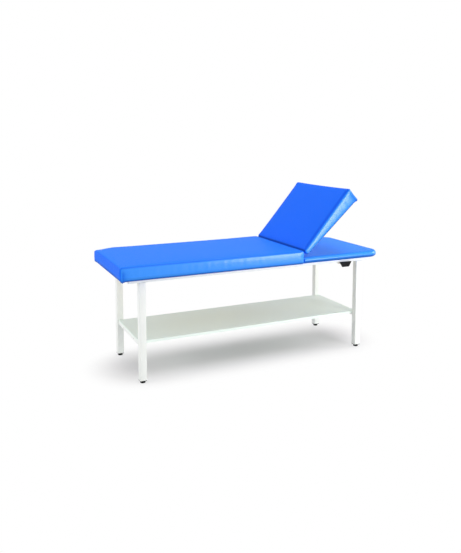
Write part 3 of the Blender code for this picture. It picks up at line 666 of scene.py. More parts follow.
def foam_block(
    name, low, high, top_at, *, upper, lower, corner, crown, draw,
    seam=0.0, droop=(0.0, 0.0), gloss=(0.0, 0.0), joint_x=None, band=0.0,
):
    """A closed grid of quads in the shape of a covered foam block.

    low and high are its corners, top_at its upper edge's height at a place along X, upper and lower the
    radii of its edges, corner the radius of its corners in plan, crown the rise of its top and draw how far
    its sides pull in between the corners. seam is the depth of the sewn line along its upper edge, which also
    gets a line of painted shade, and droop how far its near and far corners at the foot end sink. gloss is
    how much of its long sides' gloss and painted paleness its ends and its top have, and joint_x the end that
    meets the next pad, where painted shade darkens the cleft. band is the width of a strip of painted shade
    along the long edges of its top.
    """
    xs = rows_between(low[0], high[0])
    ys = rows_between(low[1], high[1])
    shares = (0.25, 0.5, 0.75, 1.0)
    levels = [("low", share * lower) for share in (0.0, *shares)]
    if top_at(low[0]) - low[2] - upper - lower > LEAST_SIDE:
        levels += [("mid", share) for share in shares[:-1]]
        levels += [("top", upper)]
    levels += [("top", (1 - share) * upper) for share in shares]
    last_x, last_y, last_z = len(xs) - 1, len(ys) - 1, len(levels) - 1
    middle_x = (low[0] + high[0]) / 2
    reach_x = (high[0] - low[0]) / 2
    half = (high[1] - low[1]) / 2
    bm = bmesh.new()
    # sewn holds the seam; drawn and turned carry painted shade; side carries real gloss and painted paleness.
    marks = ("sewn", "drawn", "side", "turned")
    sewn, drawn, side, turned = [bm.verts.layers.float.new(mark) for mark in marks]
    made = {}

    def roll_at(k, edge_in):
        """How far in, down and up from the sharp edges a place lies, and how near the middle of a round edge
        it is, from 0 to 1; the painted shade and paleness follow that share.
        """
        kind, value = levels[k]
        if k == last_z and edge_in < upper:
            sink, inset = rolled(edge_in, upper)
            notch = seam if edge_in < ON_EDGE else 0.0
            return inset + notch, sink + notch, None, 1 - edge_in / upper
        if k == 0 and edge_in < lower:
            rise, inset = rolled(edge_in, lower)
            return inset, 0.0, rise, 1 - edge_in / lower
        if k == 0:
            return edge_in, 0.0, 0.0, 0.0
        if kind == "top" and k < last_z:
            inset, sink = rolled(value, upper)
            return inset, sink, None, 1 - value / upper
        if kind == "low":
            inset, rise = rolled(value, lower)
            return inset, 0.0, rise, 1 - value / lower
        return edge_in, 0.0, None, 0.0

    def height_at(x, k, edge_in, sink, rise):
        """The height of a place, with the crown where it is on the top."""
        kind, value = levels[k]
        if rise is not None:
            return low[2] + rise
        if kind == "mid":
            return low[2] + lower + value * (top_at(x) - upper - low[2] - lower)
        swell = min(max(edge_in - upper, 0.0) / (CROWNED_AT * half - upper), 1.0)
        return top_at(x) - sink + crown * (1 - (1 - swell) ** 2)

    def mark_cover(vertex, k, x_in, y_in, by_joint, tight):
        """Marks where the cover is sewn, and where the vinyl gets painted shade along the upper edges, under
        the lower edges and at the joint, and painted paleness on the sides.
        """
        edge_in = min(x_in, y_in)
        kind = levels[k][0]
        by_long_edge = kind == "top" and y_in <= x_in
        if seam > 0 and k == last_z and edge_in < ON_EDGE:
            vertex[sewn] = 1.0
        # Painted shade: a strip along the long edges of the top, or a line round the upper roll where it is
        # sewn.
        if by_long_edge and band > 0:
            strip = min(max(BAND_FADE * (1.0 - y_in / band), 0.0), 1.0)
            vertex[drawn] = strip if k == last_z else 0.5 * tight
        elif by_long_edge and seam > 0:
            vertex[drawn] = tight
        # Painted shade: deep navy round the lower edge, and in the upper roll at the joint's cleft.
        if kind == "low" and edge_in < lower:
            vertex[turned] = UNDER_SHADE_LEAST + (1 - UNDER_SHADE_LEAST) * tight**0.5
        elif kind == "top" and by_joint and x_in < y_in:
            vertex[turned] = tight
        # Painted light: the paler colour of the sides, with a share of it on the ends and top; it also sets
        # their gloss.
        facing = min(max(0.5 + (x_in - y_in) / SIDE_BLEND, gloss[0]), 1.0)
        if k == last_z:
            rim = max(1.0 - edge_in / RIM_WIDTH, 0.0) if band > 0 else tight
            vertex[side] = max(facing * rim, gloss[1])
        else:
            vertex[side] = facing * (tight if k == 0 else 1.0)

    def corner_at(i, j, k):
        """The grid's point at a row along X, a row along Y and a level, made when it is first asked for."""
        if (i, j, k) not in made:
            x, y = xs[i], ys[j]
            x_in = min(x - low[0], high[0] - x)
            y_in = min(y - low[1], high[1] - y)
            edge_in = min(x_in, y_in)
            inset, sink, rise, tight = roll_at(k, edge_in)
            x, y = on_outline(x, y, low, high, edge_in, inset, corner)
            across = 1 - (y / half) ** 2
            along = 1 - ((x - middle_x) / reach_x) ** 2
            x -= draw * across * (x - middle_x) / reach_x
            y -= draw * along * y / half
            z = height_at(x, k, edge_in, sink, rise)
            slack = np.exp(-(((x - low[0]) / DROOP_REACH) ** 2) - (((half - abs(y)) / DROOP_REACH) ** 2))
            z -= droop[0 if y < 0 else 1] * slack * (z - low[2]) / DROOP_DEPTH
            made[i, j, k] = bm.verts.new((x, y, z))
            by_joint = joint_x is not None and abs(xs[i] - joint_x) <= x_in + ON_EDGE
            mark_cover(made[i, j, k], k, x_in, y_in, by_joint, tight)
        return made[i, j, k]

    def face(*corners):
        """One quad of the grid."""
        bm.faces.new([corner_at(*place) for place in corners])

    for i in range(last_x):
        for j in range(last_y):
            face((i, j, last_z), (i + 1, j, last_z), (i + 1, j + 1, last_z), (i, j + 1, last_z))
            face((i, j, 0), (i, j + 1, 0), (i + 1, j + 1, 0), (i + 1, j, 0))
    for k in range(last_z):
        for i in range(last_x):
            face((i, 0, k), (i + 1, 0, k), (i + 1, 0, k + 1), (i, 0, k + 1))
            face((i, last_y, k), (i, last_y, k + 1), (i + 1, last_y, k + 1), (i + 1, last_y, k))
        for j in range(last_y):
            face((0, j, k), (0, j, k + 1), (0, j + 1, k + 1), (0, j + 1, k))
            face((last_x, j, k), (last_x, j + 1, k), (last_x, j + 1, k + 1), (last_x, j, k + 1))
    return to_mesh(name, bm)


def places(mesh):
    """A mesh's points, one to a row."""
    flat = np.zeros(len(mesh.vertices) * 3, np.float32)
    mesh.vertices.foreach_get("co", flat)
    return flat.reshape(-1, 3).astype(float)


def set_places(mesh, points):
    """Moves a mesh's points to new places."""
    mesh.vertices.foreach_set("co", points.astype(np.float32).ravel())
    mesh.update()


def marks_of(mesh, name):
    """What a mesh says of each of its points under a name."""
    values = np.zeros(len(mesh.vertices), np.float32)
    mesh.attributes[name].data.foreach_get("value", values)
    return values


def stretch_cover(mesh, is_held, reach):
    """Lets a cover swell over its foam, with no point moved further than reach.

    is_held tells, by x and z, which points stay where they are. The sewn ones stay too.
    """
    start = places(mesh)
    held = is_held(start[:, 0], start[:, 2]) | (marks_of(mesh, "sewn") > 0.5)
    holder = put("cover", mesh)
    group = holder.vertex_groups.new(name="held")
    group.add([int(number) for number in np.nonzero(held)[0]], 1.0, "REPLACE")
    cloth = holder.modifiers.new("swell", "CLOTH")
    cloth.settings.use_pressure = True
    cloth.settings.uniform_pressure_force = SWELL_PRESSURE
    cloth.settings.effector_weights.gravity = 0.0
    cloth.settings.vertex_group_mass = "held"
    cloth.settings.quality = 5
    cloth.settings.tension_stiffness = 30.0
    cloth.settings.compression_stiffness = 30.0
    cloth.settings.bending_stiffness = 2.0
    cloth.collision_settings.use_collision = False
    for number in range(1, SWELL_FRAMES + 1):
        bpy.context.scene.frame_set(number)
    graph = bpy.context.evaluated_depsgraph_get()
    move = places(holder.evaluated_get(graph).to_mesh()) - start
    bpy.data.objects.remove(holder)
    bpy.context.scene.frame_set(1)
    length = np.linalg.norm(move, axis=1, keepdims=True)
    set_places(mesh, start + move * np.minimum(1.0, reach / np.maximum(length, 1e-9)))


def refined(mesh):
    """The mesh with one level of subdivision."""
    holder = put("refined", mesh)
    smooth = holder.modifiers.new("smooth", "SUBSURF")
    smooth.levels = smooth.render_levels = 1
    return evaluated(holder)


def tuck_corners(mesh, end_x, half, low_z, high_z):
    """Tucks the spare vinyl in at an end's two corners.

    Each long side gets a dent beside a soft lip at the corner, with painted shade in the dent, and a small
    bunch of folds hangs under it.
    """
    points = places(mesh)
    from_end = np.abs(points[:, 0] - end_x)
    from_side = half - np.abs(points[:, 1])
    height = np.clip((points[:, 2] - low_z) / (high_z - low_z), 0.0, 1.0)
    on_side = np.exp(-((from_side / TUCK_WRAP) ** 2)) * np.clip((0.85 - height) * 3.0, 0.0, 1.0)
    off = from_end - TUCK_AT
    dent_in = TUCK_DEPTH * np.exp(-np.maximum(off, 0.0) / TUCK_LENGTH) / (1.0 + np.exp(-off / TUCK_FOLD))
    lip_out = LIP_RISE * np.exp(-(((from_end - LIP_WIDTH) / LIP_WIDTH) ** 2))
    points[:, 1] -= np.sign(points[:, 1]) * (dent_in - lip_out) * on_side
    low = np.clip(1.0 - height * 4.0, 0.0, 1.0)
    bunch = np.exp(-(((from_end - BUNCH_AT) / BUNCH_ALONG) ** 2) - (from_side / BUNCH_ACROSS) ** 2)
    folds = 1.0 + FOLD_SHARE * np.cos(from_end / FOLD_WAVE)
    points[:, 2] -= BUNCH_DEPTH * low * bunch * folds
    set_places(mesh, points)
    # Painted shade: the dent is darkened through the drawn mark.
    drawn = np.maximum(marks_of(mesh, "drawn"), 0.9 * on_side * dent_in / dent_in.max())
    mesh.attributes["drawn"].data.foreach_set("value", drawn.astype(np.float32))


def ripple(along):
    """An uneven wave along an edge, from -1 to 1."""
    main_wave = 0.5 * np.sin(along / 0.0090)
    slow_wave = 0.3 * np.sin(along / 0.0147 + 1.3)
    quick_wave = 0.2 * np.sin(along / 0.0061 + 0.4)
    return main_wave + slow_wave + quick_wave


def pucker(mesh, low, high, top_at, depth):
    """Draws the cover into soft puckers along its upper edges, on its top and down its sides."""
    points = places(mesh)
    x, y, z = points.T
    middle_x = (low[0] + high[0]) / 2
    to_end = np.minimum(x - low[0], high[0] - x)
    to_side = (high[1] - low[1]) / 2 - np.abs(y)
    by_side = to_side < to_end
    along = np.where(by_side, x, y + END_WAVE_SHIFT)
    edge = np.exp(-np.maximum(np.minimum(to_side, to_end), 0.0) / PUCKER_REACH)
    ceiling = np.array([top_at(value) for value in x])
    on_top = np.clip((z - ceiling + PUCKER_TOP) / PUCKER_TOP, 0.0, 1.0)
    below_edge = np.clip((ceiling - PUCKER_BELOW - z) / PUCKER_BELOW, 0.0, 1.0)
    on_side = below_edge * np.clip((z - low[2] - PUCKER_BASE) / PUCKER_FADE, 0.0, 1.0)
    points[:, 2] += depth * on_top * edge * ripple(along)
    outward = depth * PUCKER_SIDE * on_side * ripple(along + SIDE_WAVE_SHIFT)
    points[:, 1] += np.where(by_side & (to_side < PUCKER_WITHIN), outward * np.sign(y), 0.0)
    points[:, 0] += np.where(~by_side & (to_end < PUCKER_WITHIN), outward * np.sign(x - middle_x), 0.0)
    set_places(mesh, points)


def cut_away(mesh, *tools):
    """The mesh with the tools' shapes cut out of it."""
    holder = put("cut", mesh)
    cutters = []
    for tool in tools:
        cutter = put("cutter", tool)
        cutters.append(cutter)
        modifier = holder.modifiers.new("cut", "BOOLEAN")
        modifier.operation = "DIFFERENCE"
        modifier.solver = "EXACT"
        modifier.object = cutter
    made = evaluated(holder)
    for cutter in cutters:
        bpy.data.objects.remove(cutter)
    return made


def block(low, high):
    """A plain block to cut with."""
    bm = bmesh.new()
    bmesh.ops.create_cube(bm, size=1.0)
    size = Vector(high) - Vector(low)
    middle = (Vector(high) + Vector(low)) / 2
    for vertex in bm.verts:
        vertex.co = vertex.co * size + middle
    return to_mesh("block", bm)


def board_seat(board, flat=Matrix()):
    """The hollow that a board lies in: the board, a hair larger and open below."""
    mesh = merged_copy(board)
    mesh.transform(flat)
    points = places(mesh)
    low, high = points.min(axis=0), points.max(axis=0)
    middle = (low + high) / 2
    grown = middle + (points - middle) * (1 + SEAT_GAP / (high - low))
    grown[:, 2] -= np.where(points[:, 2] < middle[2], SEAT_OPEN, 0.0)
    set_places(mesh, grown)
    return mesh


def main_face(x):
    """The height of the main pad's upper edge, which is level."""
    return main_high.z - MAIN_EDGE_DROP


blue_vinyl = vinyl()
main_low, main_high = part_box("main_pad")
half_width = (main_high.y - main_low.y) / 2
main_corners = (main_low.x, -half_width, main_low.z), (main_high.x, half_width)
# gloss gives the foot end a little, and the top about half, of the sides' painted paleness and gloss; joint_x
# paints shade in the cleft at the head end.
main_mesh = foam_block(
    "main_pad", *main_corners, main_face, upper=0.010, lower=0.011, corner=0.013, crown=0.0030, draw=0.0030,
    seam=0.0022, droop=(0.002, 0.0135), gloss=(0.12, 0.48), joint_x=main_high.x,
)
main_held_z = main_low.z + MAIN_HELD_UP
main_held_x = main_high.x - MAIN_HELD_IN
stretch_cover(main_mesh, lambda x, z: (z < main_held_z) | (x > main_held_x), MAIN_SWELL)
main_mesh = refined(main_mesh)
pucker(main_mesh, *main_corners, main_face, MAIN_PUCKER)
tuck_corners(main_mesh, main_low.x, half_width, main_low.z, main_face(main_low.x))
main_mesh = cut_away(main_mesh, board_seat("main_board"))
main_pad = settle("main_pad_cover", main_mesh, "table", blue_vinyl, ["main_pad"], 60.0)

# Head deck pad
# Thin firm foam in the same vinyl, with a rolled edge and round head corners. It butts against the main pad,
# and is let out for the two hinges and for the arm that swings through it.
DECK_CORNER = 0.095
DECK_EDGE_DROP = 0.0020
DECK_HELD_UP = 0.006
DECK_HELD_IN = 0.015
DECK_SWELL = 0.0010
NOTCH_HALF = 0.038
NOTCH_END = 0.3203
ARM_SLOT_START = 0.4090
ARM_SLOT_END = 0.4690
ARM_SLOT_HALF = 0.0060
CUT_LOW = 0.60
CUT_HIGH = 0.80

deck_low, deck_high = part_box("deck_pad")
deck_edge_height = deck_high.z - DECK_EDGE_DROP
deck_roll = (deck_edge_height - deck_low.z) / 2
# gloss paints the deck's ends fully and its top mostly in the sides' paler blue: painted light where the
# raised back shades it.
deck_mesh = foam_block(
    "deck_pad", (deck_low.x - 2 * DECK_CORNER, -half_width, deck_low.z), (deck_high.x, half_width),
    lambda x: deck_edge_height, upper=deck_roll, lower=deck_roll, corner=DECK_CORNER, crown=0.0012, draw=0.0,
    gloss=(1.0, 0.66),
)
deck_held_z = deck_low.z + DECK_HELD_UP
deck_held_x = deck_low.x + DECK_HELD_IN
stretch_cover(deck_mesh, lambda x, z: (z < deck_held_z) | (x < deck_held_x), DECK_SWELL)
deck_mesh = refined(deck_mesh)
deck_cuts = [
    block((deck_low.x - 0.5, -1.0, 0.0), (deck_low.x, 1.0, 1.0)),
    board_seat("deck_board"),
    block((ARM_SLOT_START, -ARM_SLOT_HALF, CUT_LOW), (ARM_SLOT_END, ARM_SLOT_HALF, CUT_HIGH)),
]
for hinge_side in ("near", "far"):
    leaf_low, leaf_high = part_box(f"hinge_leaf_fixed_{hinge_side}")
    notch_y = (leaf_low.y + leaf_high.y) / 2
    notch_low = (deck_low.x - 0.01, notch_y - NOTCH_HALF, CUT_LOW)
    deck_cuts.append(block(notch_low, (NOTCH_END, notch_y + NOTCH_HALF, CUT_HIGH)))
deck_mesh = cut_away(deck_mesh, *deck_cuts)
deck_pad = settle("deck_pad_cover", deck_mesh, "table", blue_vinyl, ["deck_pad"], 50.0)

# Back pad
# A wedge of foam on its own board, thin at the hinges and thick at the head, so that its face slopes when it
# is down. It is drawn flat, about the hinge axis, and then raised to where it rests.
BACK_RAISED = radians(42)
BACK_START = 0.005
BACK_END = 0.554
BACK_UNDER = -0.025
BACK_THIN = 0.039
BACK_THICK = 0.108
BACK_HELD_UP = 0.004
BACK_HELD_IN = 0.004
BACK_SWELL = 0.0022
BACK_PUCKER = 0.0006

hinge_axis = Vector(next(joint for joint in frame["joints"] if joint["name"] == "back_hinge")["pos_m"])
raised = Matrix.Translation(hinge_axis) @ Matrix.Rotation(-BACK_RAISED, 4, "Y")


def back_face(x):
    """The height of the back's upper edge at a place along it."""
    return BACK_UNDER + BACK_THIN + (BACK_THICK - BACK_THIN) * (x - BACK_START) / (BACK_END - BACK_START)


back_corners = (BACK_START, -half_width, BACK_UNDER), (BACK_END, half_width)
# band paints a strip of shade along the long edges of the face; joint_x paints shade in the cleft at the
# hinge end.
back_mesh = foam_block(
    "back_pad", *back_corners, back_face, upper=0.013, lower=0.008, corner=0.014, crown=0.0046, draw=0.0030,
    seam=0.0026, joint_x=BACK_START, band=0.030,
)
back_held_z = BACK_UNDER + BACK_HELD_UP
back_held_x = BACK_START + BACK_HELD_IN
stretch_cover(back_mesh, lambda x, z: (z < back_held_z) | (x < back_held_x), BACK_SWELL)
back_mesh = refined(back_mesh)
pucker(back_mesh, *back_corners, back_face, BACK_PUCKER)
tuck_corners(back_mesh, BACK_END, half_width, BACK_UNDER, back_face(BACK_END))
back_mesh = cut_away(back_mesh, board_seat("back_board", raised.inverted()))
back_mesh.transform(raised)
back_pad = settle("back_pad_cover", back_mesh, "back", blue_vinyl, ["back_pad"], 60.0)

# Turned-under covers
# The vinyl of the main pad and the deck is drawn round the edge of each board, trimmed to an even strip and
# held to the underside by a row of wire staples along each side and across the outer end.
HEM_WIDTH = 0.040
HEM_THICKNESS = 0.0002
HEM_GAP = 0.00005
HEM_PAST_BOARD = 0.003
HEM_CORNER = 0.0015
STAPLE_WIRE = 0.0004
STAPLE_CROWN = 0.0100
STAPLE_LEG = 0.0030
STAPLE_BEND = 0.0006
STAPLE_SIDES = 6
STAPLES_APART = 0.032
STAPLE_LEAN = 0.20
STAPLE_SEED = 7
STAPLE_PROUD = 0.0003
ROW_IN = 0.030
ROW_SHORT = 0.060
ROW_CORNER = 0.020


def rounded_plan(x_low, x_high, half, foot_radius, head_radius):
    """An outline with round corners, as points round it."""
    points = []
    for x, y, radius, first in (
        (x_high - head_radius, half - head_radius, head_radius, 0),
        (x_low + foot_radius, half - foot_radius, foot_radius, 90),
        (x_low + foot_radius, -half + foot_radius, foot_radius, 180),
        (x_high - head_radius, -half + head_radius, head_radius, 270),
    ):
        for number in range(9):
            turn = radians(first + 90 * number / 8)
            points.append((x + radius * cos(turn), y + radius * sin(turn)))
    return points


def rings_at(bm, *levels):
    """A ring of points for each outline and height."""
    return [[bm.verts.new((x, y, z)) for x, y in outline] for outline, z in levels]


def galvanised():
    """Staple wire, dulled by its zinc."""
    material, wire, sockets = coating("staple_wire", {"Metallic": 1.0})
    place = place_on(wire)
    spangle = speckle(wire, place, 300.0)
    wire.feed(sockets["Base Color"], shade(wire, spangle, (0.42, 0.42, 0.41), (0.62, 0.62, 0.60)))
    wire.feed(sockets["Roughness"], 0.35 + 0.2 * speckle(wire, place, 500.0))
    return material


def staple_mesh():
    """A staple lying along X: its crown below and its two legs up into the board."""
    bm = bmesh.new()
    end = -STAPLE_CROWN / 2
    path = [(end, STAPLE_LEG), (end, STAPLE_WIRE), (end + STAPLE_BEND, 0.0)]
    path += [(-x, z) for x, z in reversed(path)]
    turns = [2 * pi * side / STAPLE_SIDES for side in range(STAPLE_SIDES)]
    rings = []
    for number, (x, z) in enumerate(path):
        before = Vector(path[max(number - 1, 0)])
        heading = (Vector(path[min(number + 1, len(path) - 1)]) - before).normalized()
        outs = [(STAPLE_WIRE * cos(turn), STAPLE_WIRE * sin(turn)) for turn in turns]
        rings.append([bm.verts.new((x - heading.y * out, y, z + heading.x * out)) for out, y in outs])
    join_rings(bm, rings)
    bm.faces.new(rings[0])
    bm.faces.new(rings[-1])
    return to_mesh("staple", bm)


def set_out(tree, points, shape, facing, turn):
    """A shape on each point, turned to face one way and then about its own Z."""
    tilt = step(tree, "ShaderNodeCombineXYZ", {}, {"Z": turn})
    turning = {"Rotation": facing, "Rotate By": tilt}
    rotation = step(tree, "FunctionNodeRotateRotation", {"rotation_space": "LOCAL"}, turning)
    copied = step(tree, "GeometryNodeObjectInfo", {}, {"Object": shape}, "Geometry")
    placing = {"Points": points, "Instance": copied, "Rotation": rotation}
    return step(tree, "GeometryNodeInstanceOnPoints", {}, placing)


def staple_tree():
    """Staples along a path, each leaning a little its own way."""
    sizes = {"Spacing": "Float", "Lean": "Float", "Seed": "Int", "Staple": "Object", "Metal": "Material"}
    tree, given, result = new_tree("staple_row", sizes)
    path = even_path(tree, given["Geometry"], given["Spacing"])
    heading = step(tree, "GeometryNodeInputTangent", {}, {})
    along = step(tree, "FunctionNodeAlignRotationToVector", {"axis": "X"}, {"Vector": heading})
    limits = {2: figure(tree, "MULTIPLY", given["Lean"], -1.0), 3: given["Lean"], "Seed": given["Seed"]}
    lean = step(tree, "FunctionNodeRandomValue", {"data_type": "FLOAT"}, limits, 1)
    return close_tree(tree, result, set_out(tree, path, given["Staple"], along, lean), given["Metal"])


def staple_lines(x_low, x_high, half, corner, row_in, joint_end, height):
    """A row along each long side of an underside, short of the joint, and one across the outer end."""
    start, end = x_low + row_in, x_high - row_in
    cross_x = start if joint_end == "head" else end
    if joint_end == "head":
        end = x_high - ROW_SHORT
    else:
        start = x_low + ROW_SHORT
    row_y = half - row_in
    cross_y = row_y - ROW_CORNER - corner
    z = height - HEM_THICKNESS - STAPLE_PROUD
    lines = [((start, side * row_y, z), (end - corner, side * row_y, z)) for side in (-1, 1)]
    return [*lines, ((cross_x, -cross_y, z), (cross_x, cross_y, z))]


def staple_rows(name, body, lines, flat=Matrix()):
    """Rows of staples along straight lines under a board."""
    shape = bpy.data.objects.new("staple", staple)
    values = {"Spacing": STAPLES_APART, "Lean": STAPLE_LEAN, "Seed": STAPLE_SEED}
    values |= {"Staple": shape, "Metal": staple_wire}
    mesh = run_tree(name, line_mesh(name + "_path", lines), staples, values)
    bpy.data.objects.remove(shape)
    mesh.transform(flat)
    settle(name, mesh, body, staple_wire)


staple_wire = galvanised()
staple = staple_mesh()
staples = staple_tree()
for hem_name, hem_board, foot_corner, head_corner, joint_end in (
    ("main_hem", "main_board", 0.004, 0.004, "head"),
    ("deck_hem", "deck_board", 0.002, 0.0762, "foot"),
):
    board_low, board_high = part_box(hem_board)
    hem_low = board_low.x - HEM_PAST_BOARD
    hem_high = board_high.x + HEM_PAST_BOARD
    hem_half = board_high.y + HEM_PAST_BOARD
    hem_top = board_low.z - HEM_GAP
    outer = rounded_plan(hem_low, hem_high, hem_half, foot_corner, head_corner)
    inner = rounded_plan(
        hem_low + HEM_WIDTH, hem_high - HEM_WIDTH, hem_half - HEM_WIDTH,
        HEM_CORNER, max(head_corner - HEM_WIDTH, HEM_CORNER),
    )
    strip = bmesh.new()
    under = hem_top - HEM_THICKNESS
    strip_rings = rings_at(strip, (inner, hem_top), (outer, hem_top), (outer, under), (inner, under))
    join_rings(strip, [*strip_rings, strip_rings[0]])
    settle(hem_name, to_mesh(hem_name, strip), "table", blue_vinyl)
    hem_rows = staple_lines(hem_low, hem_high, hem_half, head_corner, ROW_IN, joint_end, board_low.z)
    staple_rows(hem_name + "_staples", "table", hem_rows)

# Dust cloth
# White spun-bonded cloth over the underside of the back, which shows when it is up. It is cut flat in one
# piece, stretched over the board and stapled near its edge.
CLOTH_IN = 0.007
CLOTH_CORNER = 0.004
CLOTH_ROW_IN = 0.012


def dust_cloth():
    """White spun-bonded cloth."""
    material, wire, sockets = coating("dust_cloth", {"Specular IOR Level": 0.2})
    fibres = speckle(wire, place_on(wire), 700.0, 4.0)
    wire.feed(sockets["Base Color"], shade(wire, fibres, (0.76, 0.79, 0.77), (0.84, 0.86, 0.84)))
    wire.feed(sockets["Roughness"], 0.70 + 0.20 * fibres)
    dent(wire, sockets, fibres, 0.00010)
    return material


cloth_low = BACK_START + CLOTH_IN
cloth_high = BACK_END - CLOTH_IN
cloth_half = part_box("main_board")[1].y + HEM_PAST_BOARD
cloth_plan = rounded_plan(cloth_low, cloth_high, cloth_half, CLOTH_CORNER, CLOTH_CORNER)
cloth_top = BACK_UNDER - HEM_GAP
cloth = bmesh.new()
cloth_rings = rings_at(cloth, (cloth_plan, cloth_top), (cloth_plan, cloth_top - HEM_THICKNESS))
join_rings(cloth, cloth_rings)
for cloth_ring in cloth_rings:
    cloth.faces.new(cloth_ring)
cloth_mesh = to_mesh("back_dust_cloth", cloth)
cloth_mesh.transform(raised)
back_cloth = settle("back_dust_cloth", cloth_mesh, "back", dust_cloth())
cloth_rows = staple_lines(cloth_low, cloth_high, cloth_half, CLOTH_CORNER, CLOTH_ROW_IN, "foot", BACK_UNDER)
staple_rows("back_dust_cloth_staples", "back", cloth_rows, raised)

# Hinges
# Two steel butt hinges at the step, zinc plated, each with a pressed pin. One leaf is screwed to the hinge
# rail and stands up in a notch of the deck, and the other turns under the back's board.
HINGE_EDGE = 0.0004


def zinc():
    """Bright zinc plate over drawn steel."""
    material, wire, sockets = coating("zinc_plated_steel", {"Metallic": 1.0})
    place = place_on(wire)
    bloom = speckle(wire, place, 70.0, 4.0)
    drawn = speckle(wire, stretched(wire, place, (900.0, 40.0, 900.0)), 1.0, 3.0)
    wire.feed(sockets["Base Color"], shade(wire, bloom, (0.50, 0.51, 0.53), (0.70, 0.71, 0.71)))
    wire.feed(sockets["Roughness"], 0.26 + 0.16 * bloom + 0.06 * drawn)
    dent(wire, sockets, drawn, 0.00004)
    return material


zinc_plate = zinc()
for hinge_side in ("near", "far"):
    for hinge_part in ("hinge_leaf_fixed", "hinge_leaf_moving", "hinge_pin"):
        dress(f"{hinge_part}_{hinge_side}", zinc_plate, HINGE_EDGE)

# Bumpers
# Four turned buttons of black rubber, fixed under the back's board. The back lies on them when it is down, so
# that it does not press on the deck.
BUMPER_EDGE = 0.0009


def rubber():
    """Black rubber with a little dust in its grain."""
    material, wire, sockets = coating("black_rubber", {"Specular IOR Level": 0.3})
    place = place_on(wire)
    dust = speckle(wire, place, 160.0, 4.0)
    wire.feed(sockets["Base Color"], shade(wire, dust, (0.014, 0.014, 0.014), (0.038, 0.037, 0.036)))
    wire.feed(sockets["Roughness"], 0.68 + 0.20 * dust)
    dent(wire, sockets, speckle(wire, place, 1200.0), 0.0001)
    return material


black_rubber = rubber()
for bumper_side in ("near", "far"):
    for bumper_place in ("low", "high"):
        dress(f"bumper_{bumper_place}_{bumper_side}", black_rubber, BUMPER_EDGE)

# Quadrant and its brake
# A curved steel arm under the back swings down through the deck between a guide plate and a lined brake arm,
# which pinches it and holds the back at any height. The arm is rubbed bright along its arc.
ARM_EDGE = 0.0006
LINING_EDGE = 0.0004


def rubbed_steel():
    """Steel with fine tracks rubbed round the hinge axis."""
    material, wire, sockets = coating("rubbed_steel", {"Metallic": 1.0})
    place = place_on(wire)
    from_hinge = wire.node("VectorMath", {"operation": "SUBTRACT"}, {0: place, 1: tuple(hinge_axis)})
    in_plane = wire.node("VectorMath", {"operation": "MULTIPLY"}, {0: from_hinge, 1: (1.0, 0.0, 1.0)})
    radius = wire.node("VectorMath", {"operation": "LENGTH"}, {0: in_plane}, "Value")
    tracks = speckle(wire, wire.node("CombineXYZ", {}, {"X": radius * 2600.0}), 1.0, 4.0)
    bloom = speckle(wire, place, 60.0, 4.0)
    bright = 0.6 * tracks + 0.4 * bloom
    wire.feed(sockets["Base Color"], shade(wire, bright, (0.44, 0.44, 0.45), (0.74, 0.74, 0.73)))
    wire.feed(sockets["Roughness"], 0.22 + 0.14 * bloom + 0.12 * tracks)
    dent(wire, sockets, tracks, 0.00005)
    return material


def friction_lining():
    """Brown pressed fibre."""
    material, wire, sockets = coating("brake_lining", {"Specular IOR Level": 0.2})
    fibres = speckle(wire, stretched(wire, place_on(wire), (700.0, 700.0, 160.0)), 1.0, 5.0)
    wire.feed(sockets["Base Color"], shade(wire, fibres, (0.050, 0.036, 0.026), (0.190, 0.145, 0.100)))
    wire.feed(sockets["Roughness"], 0.75 + 0.2 * fibres)
    dent(wire, sockets, fibres, 0.0002)
    return material


dress("quadrant_arm", rubbed_steel(), ARM_EDGE)
dress("quadrant_guide", zinc_plate, ARM_EDGE)
dress("brake_arm", zinc_plate, ARM_EDGE)
dress("brake_lining", friction_lining(), LINING_EDGE)

# Release shaft
# A round bar under the deck in two angle brackets, held by a ring at each end, with a coil spring that keeps
# the brake pinched. The flat lever on it reaches out under the near rail.
SHAFT_EDGE = 0.0006
RING_EDGE = 0.0004
LEVER_EDGE = 0.0005


def spring_steel():
    """Dark spring wire."""
    material, wire, sockets = coating("spring_steel", {"Metallic": 1.0})
    bloom = speckle(wire, place_on(wire), 240.0, 3.0)
    wire.feed(sockets["Base Color"], shade(wire, bloom, (0.20, 0.20, 0.21), (0.34, 0.34, 0.35)))
    wire.feed(sockets["Roughness"], 0.24 + 0.16 * bloom)
    return material


dress("release_shaft", zinc_plate, SHAFT_EDGE)
for shaft_end in ("hinge", "head"):
    dress(f"shaft_bracket_{shaft_end}", zinc_plate, SHAFT_EDGE)
    dress(f"shaft_ring_{shaft_end}", zinc_plate, RING_EDGE)
dress("return_spring", spring_steel())
dress("release_lever", white_coat, LEVER_EDGE)

# Release paddle
# The grip on the end of the lever, moulded in the same black plastic as the glides. It is wider at the top,
# with round edges and a bare face.
dress("release_paddle", black_plastic)

# Screws
# Zinc-plated cross-recessed screws: pan heads hold the rails, shelf rails, brackets and hinge leaves, and
# countersunk ones lie nearly flush where the back comes down on the deck.
SCREW_HEAD = 0.0038
SCREW_SUNK = 0.0003
SCREW_SIDES = 24
SCREW_SEED = 3
